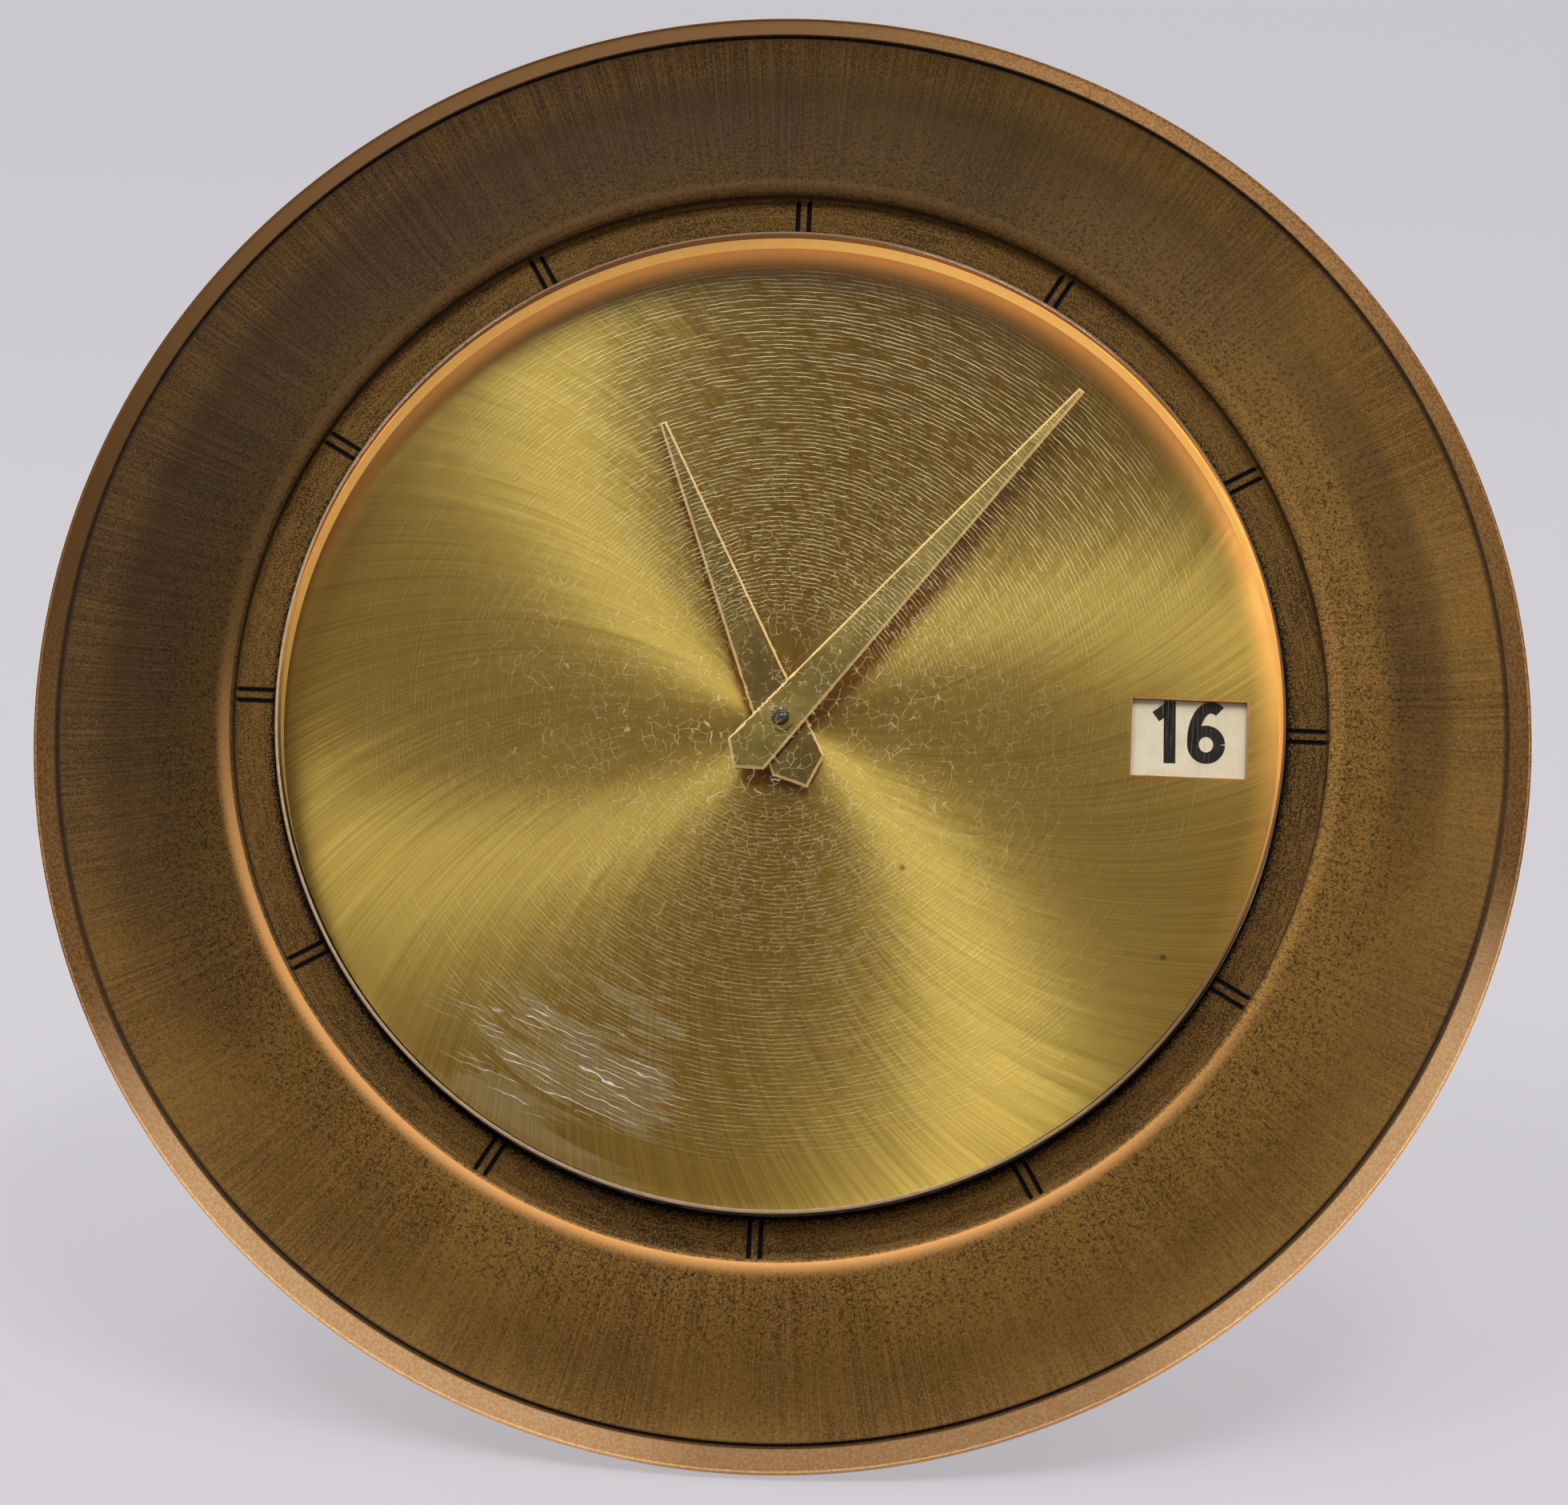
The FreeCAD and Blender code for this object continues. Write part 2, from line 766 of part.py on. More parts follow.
# the intermediate arbor stands where its pinion reaches the barrel and its wheel the centre
barrel_spot = polar(s.barrel_distance, s.barrel_bearing)
to_barrel = barrel_gear.pitch + intermediate_pinion.pitch
to_centre = intermediate_gear.pitch + centre_pinion.pitch


def corner_between(side, other, opposite):
    """The angle between two sides of a triangle, from its three lengths."""
    return arccosine((side * side + other * other - opposite * opposite) / (2 * side * other))


intermediate_bearing = s.barrel_bearing + corner_between(s.barrel_distance, to_centre, to_barrel)
barrel_approach = intermediate_bearing + corner_between(to_centre, to_barrel, s.barrel_distance)
intermediate_spot = polar(to_centre, intermediate_bearing)
third_spot = polar(centre_gear.pitch + third_pinion.pitch, s.third_bearing)
fourth_spot = step_from(third_spot, third_gear.pitch + fourth_pinion.pitch, s.fourth_bearing)
escape_spot = step_from(fourth_spot, fourth_gear.pitch + escape_pinion.pitch, s.escape_bearing)
fork_spot = step_from(escape_spot, s.fork_distance, s.fork_bearing)
balance_spot = step_from(fork_spot, s.balance_distance, s.fork_bearing)


pillar_circle = s.movement_plate_radius - s.pillar_inset
plate_screw_circle = s.movement_plate_radius - s.plate_screw_inset
pillar_spots = [polar(pillar_circle, bearing) for bearing in (20, 110, 205, 335)]
plate_screw_spots = around(plate_screw_circle, s.plate_screw_count, HALF_TURN / 3)

# ---------------------------------------------------------------------------
# Front of the clock
# ---------------------------------------------------------------------------


def make_bezel():
    body = new_body("bezel")
    section = [
        (bore_radius, ring_floor),
        (lip_radius, ring_floor),
        (lip_radius, -s.lip_edge_drop, -s.roll_radius),
        (lip_radius + s.roll_width, -s.roll_drop, s.cove_radius),
        (groove_radius - s.groove_width, -s.dish_outer_drop),
        (groove_radius - s.groove_width, -s.dish_outer_drop - s.groove_depth),
        (groove_radius, -s.dish_outer_drop - s.groove_depth),
        (groove_radius, -s.band_inner_drop),
        (s.rim_radius, -s.band_outer_drop),
        (s.rim_radius, rim_bottom),
        (s.rim_radius - s.rim_foot_width, rim_bottom),
        (boss_radius, -s.dish_back_drop),
        (boss_radius, boss_back),
        (seat_radius, boss_back),
        (seat_radius, shoulder),
        (bore_radius, shoulder),
    ]
    section.reverse()
    turn(body, flip_bends(section))
    reach = (lip_radius + bore_radius) / 2
    half_length = (lip_radius - bore_radius) / 2 + s.crystal_fit
    marks = new_sketch(body, "XY_Plane", ring_floor)
    for side in (-1, 1):
        line = (reach - s.crystal_fit, s.mark_spacing * side / 2)
        draw_outline(marks, bar_outline(half_length, s.mark_width / 2, line))
    ring_of(body, sink(body, marks, s.mark_depth), s.mark_count)
    holes = around(case_screw_circle, s.case_screw_count, HALF_TURN / 6)
    depth = s.screw_length - s.flange_thickness + s.slot_width
    bore(body, holes, s.case_screw_radius + s.screw_fit, boss_back, depth, forwards=True)
    return seat(body)


def flip_bends(corners):
    """The same outline walked the other way: each arc's bend moves to the corner that now
    comes before it, and turns the other way."""
    flipped = []
    for index, corner in enumerate(corners):
        following = corners[(index + 1) % len(corners)]
        bend = (-following[2],) if len(following) > 2 else ()
        flipped.append((corner[0], corner[1]) + bend)
    return flipped


def dome_radius(half_width, rise):
    """The radius of an arc that rises so far over half its width."""
    return (half_width * half_width + rise * rise) / (2 * rise)


def make_crystal():
    body = new_body("crystal")
    inner = s.crystal_radius - s.crystal_wall
    shelf = s.crystal_radius - s.crystal_edge_round
    rise = s.crystal_top - s.crystal_edge_height
    section = [
        (ZERO, s.crystal_top, -dome_radius(shelf, rise)),
        (shelf, s.crystal_edge_height, -s.crystal_edge_round),
        (s.crystal_radius, s.crystal_edge_height - s.crystal_edge_round),
        (s.crystal_radius, flange_front),
        (stack_radius, flange_front),
        (stack_radius, flange_back),
        (inner, flange_back),
        (inner, s.crystal_edge_height - s.crystal_wall, dome_radius(inner, rise)),
        (ZERO, s.crystal_top - s.crystal_wall),
    ]
    turn(body, section)
    return seat(body)


def make_crystal_gasket():
    body = new_body("crystal_gasket")
    turn(body, ring_section(bore_radius, stack_radius, flange_front, shoulder))
    return seat(body)


def make_dial_ring():
    body = new_body("dial_ring")
    turn(body, ring_section(bore_radius, stack_radius, dial_front, flange_back))
    return seat(body)


DIAL_FOOT_BEARINGS = (45, 290)


def make_dial():
    body = new_body("dial")
    turn(body, ring_section(s.dial_hole_radius, stack_radius, dial_back, dial_front))
    window = bar_outline(s.window_width / 2, s.window_height / 2, (window_radius, ZERO))
    sink(body, draw_outline(new_sketch(body, "XY_Plane", dial_front), window), s.dial_thickness)
    spots = [polar(s.dial_foot_circle, bearing) for bearing in DIAL_FOOT_BEARINGS]
    feet_end = dial_back - s.dial_foot_length
    feet = draw_circles(new_sketch(body, "XY_Plane", feet_end), spots, s.dial_foot_radius)
    raise_up(body, feet, s.dial_foot_length)
    return seat(body)


def make_hand(label, length, half_width, shoulder_back, tail, eye, level, bearing):
    """A kite-shaped hand with a pointed tail, its upper edges bevelled."""
    body = new_body(label)
    outline = [
        (s.hand_tip_half_width, length),
        (-s.hand_tip_half_width, length),
        (-half_width, -shoulder_back),
        (ZERO, -tail),
        (half_width, -shoulder_back),
    ]
    base = draw_outline(new_sketch(body, "XY_Plane", level), outline)
    raise_up(body, base, s.hand_base_thickness)
    face = level + s.hand_base_thickness
    top = draw_outline(new_sketch(body, "XY_Plane", face), outline)
    raise_up(body, top, s.hand_bevel_height, taper=-s.hand_bevel_angle)
    depth = s.hand_base_thickness + s.hand_bevel_height
    bore(body, [CENTRE], eye, face + s.hand_bevel_height, depth)
    return seat(body, turn=-float(bearing))


# ---------------------------------------------------------------------------
# Motion work: from the cannon pinion to the hour hand and the calendar
# ---------------------------------------------------------------------------
minute_wheel_low = dial_plate_back + s.motion_gap
minute_wheel_high = minute_wheel_low + s.motion_wheel_thickness
hour_wheel_low = minute_wheel_high + s.motion_gap
hour_wheel_high = hour_wheel_low + s.motion_wheel_thickness
hour_hand_level = dial_front + s.hour_hand_lift
hour_hand_top = hour_hand_level + s.hand_base_thickness + s.hand_bevel_height
minute_hand_level = dial_front + s.minute_hand_lift
minute_hand_top = minute_hand_level + s.hand_base_thickness + s.hand_bevel_height
staff_end = minute_hand_top + s.staff_rise


def make_cannon_pinion(turned_by):
    body = new_body("cannon_pinion")
    eye = s.centre_staff_radius + s.running_fit
    leaves_high = hour_wheel_low - s.motion_gap / 2
    section = [
        (eye, minute_wheel_low),
        (cannon.tip, minute_wheel_low),
        (cannon.tip, leaves_high),
        (s.cannon_pipe_radius, leaves_high),
        (s.cannon_pipe_radius, minute_hand_top + s.motion_gap),
        (eye, minute_hand_top + s.motion_gap),
    ]
    turn(body, section)
    cannon.cut(body, minute_wheel_low, leaves_high)
    return seat(body, turn=turned_by)


def make_hour_wheel(turned_by):
    body = new_body("hour_wheel")
    eye = s.cannon_pipe_radius + s.running_fit
    section = [
        (eye, hour_wheel_low),
        (hour_gear.tip, hour_wheel_low),
        (hour_gear.tip, hour_wheel_high),
        (s.hour_pipe_radius, hour_wheel_high),
        (s.hour_pipe_radius, hour_hand_top + s.motion_gap / 2),
        (eye, hour_hand_top + s.motion_gap / 2),
    ]
    turn(body, section)
    hour_gear.cut(body, hour_wheel_low, hour_wheel_high)
    return seat(body, turn=turned_by)


def make_minute_wheel(turned_by):
    body = new_body("minute_wheel")
    eye = s.post_radius + s.running_fit
    pinion_high = hour_wheel_high + s.motion_gap
    section = [
        (eye, minute_wheel_low),
        (minute_gear.tip, minute_wheel_low),
        (minute_gear.tip, minute_wheel_high),
        (minute_pinion.tip, minute_wheel_high),
        (minute_pinion.tip, pinion_high),
        (eye, pinion_high),
    ]
    turn(body, section)
    minute_gear.cut(body, minute_wheel_low, minute_wheel_high)
    minute_pinion.cut(body, minute_wheel_high, pinion_high)
    return seat(body, minute_spot, turned_by)


def make_date_wheel(turned_by):
    """The twenty-four-hour wheel, with the finger that moves the calendar ring at midnight."""
    body = new_body("date_wheel")
    eye = s.post_radius + s.running_fit
    low = hour_wheel_low
    section = [
        (eye, low),
        (date_gear.tip, low),
        (date_gear.tip, hour_wheel_high),
        (s.date_hub_radius, hour_wheel_high),
        (s.date_hub_radius, date_ring_front),
        (eye, date_ring_front),
    ]
    turn(body, section)
    date_gear.cut(body, low, hour_wheel_high)
    inner = (eye + s.date_hub_radius) / 2
    toe = s.date_finger_width / 4
    swing = float(s.date_finger_bearing) - turned_by
    finger = [
        (inner, -s.date_finger_width / 2),
        (date_finger_length, -toe),
        (date_finger_length, toe),
        (inner, s.date_finger_width / 2),
    ]
    turned_finger = [
        (x * cosine(swing) - y * sine(swing), x * sine(swing) + y * cosine(swing))
        for x, y in finger
    ]
    sketch = draw_outline(new_sketch(body, "XY_Plane", date_ring_back), turned_finger)
    raise_up(body, sketch, s.date_ring_thickness)
    return seat(body, date_wheel_spot, turned_by)


def make_date_ring(turned_by):
    body = new_body("date_ring")
    section = ring_section(
        date_tip_radius, date_ring_radius, date_ring_back, date_ring_front
    )
    turn(body, section)
    cut_gaps(
        body,
        s.day_count,
        (date_tip_radius, s.date_tip_width),
        (date_root_radius, s.date_root_width),
        date_ring_back,
        date_ring_front,
    )
    return seat(body, turn=turned_by)


def make_date_star(turned_by):
    """The calendar setting star and its arbor, which runs back through the movement."""
    body = new_body("date_setting_star")
    middle = (date_ring_front + date_ring_back) / 2
    star_low = middle - s.star_thickness / 2
    star_high = middle + s.star_thickness / 2
    knob_end = knob_front - s.date_knob_length / 2
    section = rod_section(
        knob_end, [(s.setting_arbor_radius, star_low), (star_tip_radius, star_high)]
    )
    turn(body, section)
    cut_gaps(
        body,
        s.star_leaves,
        (star_tip_radius, s.star_tip_width),
        (star_root_radius, s.star_root_width),
        star_low,
        star_high,
    )
    return seat(body, star_spot, turned_by)


def make_setting_arbor(turned_by):
    body = new_body("hand_setting_arbor")
    knob_end = knob_front - s.setting_knob_length / 2
    section = rod_section(
        knob_end, [(s.setting_arbor_radius, minute_wheel_low), (cannon.tip, minute_wheel_high)]
    )
    turn(body, section)
    cannon.cut(body, minute_wheel_low, minute_wheel_high)
    return seat(body, setting_spot, turned_by)


def jumper_bearing(ring_turn):
    """The calendar's detent rests in the gap between teeth that is nearest to its bearing."""
    pitch = FULL_TURN / float(s.day_count)
    return pitch * round(float(s.jumper_bearing) / pitch) + ring_turn


jumper_blade = date_tip_radius - s.jumper_nose_reach
jumper_foot = (jumper_blade - s.jumper_foot_inset, -s.jumper_length)
jumper_foot_top = dial_plate_front + s.jumper_foot_thickness


def make_date_jumper(ring_turn):
    """A flat spring whose nose rests between two teeth of the calendar ring."""
    body = new_body("date_jumper")
    half = s.jumper_blade_width / 2
    nose = date_tip_radius + s.jumper_nose_reach / 2
    neck = s.date_tip_width
    outline = [
        (jumper_foot[0] - half, jumper_foot[1]),
        (jumper_foot[0] + half, jumper_foot[1]),
        (jumper_blade + half, -neck),
        (nose, -neck / 4),
        (nose, neck / 4),
        (jumper_blade + half, neck),
        (jumper_blade - half, neck),
        (jumper_blade - half, -neck),
    ]
    middle = (date_ring_front + date_ring_back) / 2
    low = middle - s.star_thickness / 2
    raise_up(body, draw_outline(new_sketch(body, "XY_Plane", low), outline), s.star_thickness)
    pad = new_sketch(body, "XY_Plane", dial_plate_front)
    raise_up(body, draw_circles(pad, [jumper_foot], s.jumper_foot_radius), s.jumper_foot_thickness)
    recess = s.small_screw_head + s.head_recess_fit
    bore(body, [jumper_foot], recess, dial_back, dial_back - jumper_foot_top)
    eye = s.small_screw_radius + s.screw_fit
    bore(body, [jumper_foot], eye, jumper_foot_top, s.jumper_foot_thickness)
    return seat(body, turn=jumper_bearing(ring_turn))


def jumper_screw_spot(ring_turn):
    """Where the detent's foot lands on the dial plate."""
    angle = jumper_bearing(ring_turn)
    across, up = jumper_foot
    return (
        across * cosine(angle) - up * sine(angle),
        across * sine(angle) + up * cosine(angle),
    )


def make_dial_plate(ring_turn):
    """Carries the dial on its raised edge and the calendar in its recess."""
    body = new_body("dial_plate")
    land = date_ring_radius + s.date_ring_fit
    section = [
        (s.works_opening_radius, dial_plate_back),
        (stack_radius, dial_plate_back),
        (stack_radius, dial_back),
        (land, dial_back),
        (land, dial_plate_front),
        (s.works_opening_radius, dial_plate_front),
    ]
    turn(body, section)
    pocket_floor = hour_wheel_low - s.motion_gap
    room = date_gear.tip + s.motion_gap * 2
    bore(body, [date_wheel_spot], room, dial_plate_front, dial_plate_front - pocket_floor)
    post = draw_circles(
        new_sketch(body, "XY_Plane", dial_plate_back), [date_wheel_spot], s.post_radius
    )
    raise_up(body, post, date_ring_back - dial_plate_back)
    depth = s.dial_plate_thickness
    feet = [polar(s.dial_foot_circle, bearing) for bearing in DIAL_FOOT_BEARINGS]
    bore(body, feet, s.dial_foot_radius + s.running_fit, dial_plate_front, depth)
    arbor = s.setting_arbor_radius + s.running_fit
    bore(body, [star_spot], arbor, dial_plate_front, depth)
    thread = s.plate_screw_radius + s.screw_fit
    bore(body, plate_screw_spots, thread, dial_plate_front, depth)
    spot = jumper_screw_spot(ring_turn)
    bore(body, [spot], s.small_screw_radius + s.screw_fit, dial_plate_front, depth)
    return seat(body)


# ---------------------------------------------------------------------------
# Movement plates, barrel and going train
# ---------------------------------------------------------------------------
barrel_front = front_plate_back - s.barrel_front_gap
barrel_back = barrel_front - s.barrel_height
pivot_front = front_plate_back + s.pivot_depth
pivot_back = back_plate_front - s.pivot_depth
small_pivot_spots = [intermediate_spot, third_spot, fourth_spot, escape_spot]


def plate_holes(body, top, centre_hole):
    """The holes that the front and the back plate share."""
    depth = s.movement_plate_thickness
    fit = s.running_fit
    bore(body, small_pivot_spots, s.pivot_radius + fit, top, depth)
    bore(body, [CENTRE], centre_hole, top, depth)
    bore(body, [barrel_spot], s.barrel_arbor_radius + fit, top, depth)
    bore(body, [setting_spot, star_spot], s.setting_arbor_radius + fit, top, depth)
    bore(body, pillar_spots, s.plate_screw_radius + s.screw_fit, top, depth)


def make_front_plate():
    body = new_body("front_plate")
    disc = ring_section(ZERO, s.movement_plate_radius, front_plate_back, dial_plate_back)
    turn(body, disc)
    plate_holes(body, dial_plate_back, s.centre_staff_radius + s.running_fit)
    depth = s.movement_plate_thickness
    bore(body, [balance_spot], s.pivot_radius + s.running_fit, dial_plate_back, depth)
    passing = s.plate_screw_radius + s.screw_fit
    bore(body, plate_screw_spots, passing, dial_plate_back, depth)
    post = draw_circles(
        new_sketch(body, "XY_Plane", front_plate_back), [minute_spot], s.post_radius
    )
    raise_up(body, post, hour_wheel_high - front_plate_back)
    # the pallet fork rocks on a stud that ends short of the balance wheel
    stud_end = front_plate_back - s.escape_level - s.fork_hub_length
    stud = draw_circles(new_sketch(body, "XY_Plane", stud_end), [fork_spot], s.pivot_radius)
    raise_up(body, stud, front_plate_back - stud_end)
    return seat(body)


def make_back_plate():
    body = new_body("back_plate")
    disc = ring_section(ZERO, s.movement_plate_radius, back_plate_back, back_plate_front)
    turn(body, disc)
    plate_holes(body, back_plate_front, s.pivot_radius + s.running_fit)
    depth = s.movement_plate_thickness
    bore(body, [balance_spot], s.balance_opening_radius, back_plate_front, depth)
    thread = s.small_screw_radius + s.screw_fit
    spots = [click_screw_spot(), cock_screw_spot()]
    bore(body, spots, thread, back_plate_front, depth)
    return seat(body)


def make_pillars():
    body = new_body("pillars")
    base = new_sketch(body, "XY_Plane", back_plate_front)
    raise_up(body, draw_circles(base, pillar_spots, s.pillar_radius), s.plate_gap)
    tenon = new_sketch(body, "XY_Plane", front_plate_back)
    raise_up(
        body,
        draw_circles(tenon, pillar_spots, s.plate_screw_radius),
        s.movement_plate_thickness,
    )
    thread = s.plate_screw_radius + s.screw_fit
    bore(body, pillar_spots, thread, back_plate_front, s.screw_length, forwards=True)
    return seat(body)


def make_barrel_drum(turned_by):
    body = new_body("barrel_drum")
    eye = s.barrel_arbor_radius + s.running_fit
    inner = s.barrel_radius - s.barrel_wall
    section = [
        (eye, barrel_front),
        (eye, barrel_front - s.barrel_wall),
        (inner, barrel_front - s.barrel_wall),
        (inner, barrel_back),
        (s.barrel_radius, barrel_back),
        (s.barrel_radius, barrel_front - s.barrel_tooth_height),
        (barrel_gear.tip, barrel_front - s.barrel_tooth_height),
        (barrel_gear.tip, barrel_front),
    ]
    section.reverse()
    turn(body, section)
    barrel_gear.cut(body, barrel_front - s.barrel_tooth_height, barrel_front)
    return seat(body, barrel_spot, turned_by)


def make_barrel_cover():
    body = new_body("barrel_cover")
    eye = s.barrel_arbor_radius + s.running_fit
    edge = s.barrel_radius - s.barrel_wall
    turn(body, ring_section(eye, edge, barrel_back, barrel_back + s.barrel_cover_thickness))
    return seat(body, barrel_spot)


def make_barrel_arbor():
    body = new_body("barrel_arbor")
    hub_low = barrel_back + s.barrel_cover_thickness + s.running_fit
    hub_high = barrel_front - s.barrel_wall - s.running_fit
    key_end = knob_front - s.key_boss_length / 2
    steps = [
        (s.barrel_arbor_radius, hub_low),
        (s.barrel_hub_radius, hub_high),
        (s.barrel_arbor_radius, pivot_front),
    ]
    turn(body, rod_section(key_end, steps))
    return seat(body, barrel_spot)


def spiral_ribbon(inner, outer, coils, thickness, low, high, points_per_turn=16):
    """A flat coiled ribbon: its middle line's radius grows evenly with the angle, and each side
    lies half the thickness away from it."""
    count = int(coils * points_per_turn) + 1
    sides = []
    for offset in (-thickness / 2, thickness / 2):
        side = []
        for index in range(count):
            angle = 2 * math.pi * index / points_per_turn
            radius = inner + (outer - inner) * index / (count - 1) + offset
            side.append(FreeCAD.Vector(radius * math.cos(angle), radius * math.sin(angle), low))
        sides.append(side)
    curves = []
    for side in sides:
        curve = Part.BSplineCurve()
        curve.interpolate(side)
        curves.append(curve.toShape())
    caps = [
        Part.LineSegment(sides[0][-1], sides[1][-1]).toShape(),
        Part.LineSegment(sides[1][0], sides[0][0]).toShape(),
    ]
    face = Part.Face(Part.Wire([curves[0], caps[0], curves[1], caps[1]]))
    return face.extrude(FreeCAD.Vector(0, 0, high - low))


def new_feature(label, shape):
    feature = doc.addObject("Part::Feature", label)
    feature.Label = label
    feature.Shape = shape
    NODES.append(feature)
    return feature


def make_mainspring():
    low = barrel_back + s.barrel_cover_thickness + s.spring_margin
    high = barrel_front - s.barrel_wall - s.spring_margin
    half = s.spring_thickness / 2
    inner = s.barrel_hub_radius + half + s.running_fit
    outer = s.barrel_radius - s.barrel_wall - half - s.running_fit
    ribbon = spiral_ribbon(
        float(inner),
        float(outer),
        float(s.spring_coils),
        float(s.spring_thickness),
        float(low),
        float(high),
    )
    return seat(new_feature("mainspring", ribbon), barrel_spot)


def make_train_wheel(label, spot, turned_by, wheel, wheel_level, pinion, pinion_level, arbor):
    """An arbor between the plates with its toothed wheel and its pinion. Each level is where
    the wheel's or the pinion's middle is, below the front plate."""
    body = new_body(label)
    wheel_middle = front_plate_back - wheel_level
    pinion_middle = front_plate_back - pinion_level
    zones = [
        (wheel, wheel_middle - s.wheel_thickness / 2, wheel_middle + s.wheel_thickness / 2),
        (pinion, pinion_middle - s.leaf_length / 2, pinion_middle + s.leaf_length / 2),
    ]
    zones.sort(key=lambda zone: float(zone[1]))
    steps = [(s.pivot_radius, back_plate_front + s.running_fit)]
    for gear, low, high in zones:
        steps += [(arbor, low), (gear.tip, high)]
    steps += [(arbor, front_plate_back - s.running_fit), (s.pivot_radius, pivot_front)]
    turn(body, rod_section(pivot_back, steps))
    for gear, low, high in zones:
        gear.cut(body, low, high)
    return seat(body, spot, turned_by)


def make_centre_wheel(turned_by):
    """Turns once an hour: its long staff carries the cannon pinion and ends in the hands' eye."""
    body = new_body("centre_wheel")
    wheel_middle = front_plate_back - s.centre_wheel_level
    wheel_low = wheel_middle - s.wheel_thickness / 2
    wheel_high = wheel_middle + s.wheel_thickness / 2
    leaves_middle = front_plate_back - s.first_wheel_level
    leaves_low = leaves_middle - s.leaf_length / 2
    leaves_high = leaves_middle + s.leaf_length / 2
    steps = [
        (s.pivot_radius, back_plate_front + s.running_fit),
        (s.arbor_radius, wheel_low),
        (centre_gear.tip, wheel_high),
        (s.arbor_radius, leaves_low),
        (centre_pinion.tip, leaves_high),
        (s.centre_staff_radius, staff_end),
    ]
    turn(body, rod_section(pivot_back, steps))
    centre_gear.cut(body, wheel_low, wheel_high)
    centre_pinion.cut(body, leaves_low, leaves_high)
    return seat(body, turn=turned_by)


def make_escape_wheel(turned_by):
    body = new_body("escape_wheel")
    wheel_middle = front_plate_back - s.escape_level
    wheel_low = wheel_middle - s.escape_thickness / 2
    wheel_high = wheel_middle + s.escape_thickness / 2
    leaves_middle = front_plate_back - s.fourth_wheel_level
    leaves_low = leaves_middle - s.leaf_length / 2
    leaves_high = leaves_middle + s.leaf_length / 2
    steps = [
        (s.pivot_radius, back_plate_front + s.running_fit),
        (s.small_arbor_radius, wheel_low),
        (s.escape_radius, wheel_high),
        (s.small_arbor_radius, leaves_low),
        (escape_pinion.tip, leaves_high),
        (s.small_arbor_radius, front_plate_back - s.running_fit),
        (s.pivot_radius, pivot_front),
    ]
    turn(body, rod_section(pivot_back, steps))
    escape_pinion.cut(body, leaves_low, leaves_high)
    # each club tooth leans: the gap behind it is cut square, the one ahead of it slanted
    pitch = FULL_TURN / s.escape_teeth
    gap = [
        (s.escape_root_radius, ZERO),
        (s.escape_radius * s.cutter_overrun, ZERO),
        polar(s.escape_radius * s.cutter_overrun, pitch * 0.75),
        polar(s.escape_root_radius, pitch * 0.5),
    ]
    sketch = draw_outline(new_sketch(body, "XY_Plane", wheel_high), gap)
    ring_of(body, sink(body, sketch, s.escape_thickness), s.escape_teeth)
    return seat(body, escape_spot, turned_by)


def make_pallet_fork():
    body = new_body("pallet_fork")
    middle = front_plate_back - s.escape_level
    low = middle - s.escape_thickness / 2
    eye = s.pivot_radius + s.running_fit
    half_hub = s.fork_hub_length / 2
    turn(body, ring_section(eye, s.fork_hub_radius, middle - half_hub, middle + half_hub))
    back = -s.fork_arm_width / 2
    front = s.fork_arm_width / 2
    half = [
        (front, s.fork_half_span - s.pallet_width),
        (s.pallet_reach, s.fork_half_span - s.pallet_width),
        (s.pallet_reach, s.fork_half_span),
        (back, s.fork_half_span),
        (back, s.fork_tail_half_width),
        (s.fork_horn_length - s.fork_tail_length, s.fork_tail_half_width),
        (-s.fork_tail_length, s.fork_horn_half_width),
    ]
    outline = half + [(x, -y) for x, y in reversed(half)]
    sketch = draw_outline(new_sketch(body, "XY_Plane", low), outline)
    raise_up(body, sketch, s.escape_thickness)
    bore(body, [CENTRE], eye, low + s.escape_thickness, s.escape_thickness)
    return seat(body, fork_spot, s.fork_bearing + HALF_TURN)


hairspring_high = back_plate_front - s.hairspring_drop
hairspring_low = hairspring_high - s.hairspring_height


def make_balance():
    body = new_body("balance_wheel")
    rim_low = front_plate_back - s.balance_level - s.balance_thickness / 2
    rim_high = rim_low + s.balance_thickness
    roller_low = front_plate_back - s.escape_level - s.leaf_length
    roller_high = roller_low + s.escape_thickness
    steps = [
        (s.pivot_radius, back_plate_back),
        (s.small_arbor_radius, hairspring_low - s.hairspring_height),
        (s.hairspring_collet_radius, hairspring_high + s.hairspring_height),
        (s.small_arbor_radius, roller_low),
        (s.roller_radius, roller_high),
        (s.small_arbor_radius, front_plate_back - s.running_fit),
        (s.pivot_radius, pivot_front),
    ]
    turn(body, rod_section(back_plate_back - s.cock_thickness + s.running_fit, steps))
    arm = bar_outline(s.balance_radius - s.balance_rim_width / 2, s.balance_arm_width / 2)
    raise_up(body, draw_outline(new_sketch(body, "XY_Plane", rim_low), arm), s.balance_thickness)
    rim = new_sketch(body, "XY_Plane", rim_low)
    draw_circles(rim, [CENTRE], s.balance_radius)
    draw_circles(rim, [CENTRE], s.balance_radius - s.balance_rim_width)
    raise_up(body, rim, rim_high - rim_low)
    return seat(body, balance_spot, s.fork_bearing)


def make_hairspring():
    half = s.hairspring_thickness / 2
    ribbon = spiral_ribbon(
        float(s.hairspring_collet_radius + half + s.running_fit),
        float(s.hairspring_radius),
        float(s.hairspring_coils),
        float(s.hairspring_thickness),
        float(hairspring_low),
        float(hairspring_high),
    )
    return seat(new_feature("hairspring", ribbon), balance_spot)


def cock_screw_spot():
    return step_from(balance_spot, s.cock_length - s.cock_half_width, s.cock_bearing)


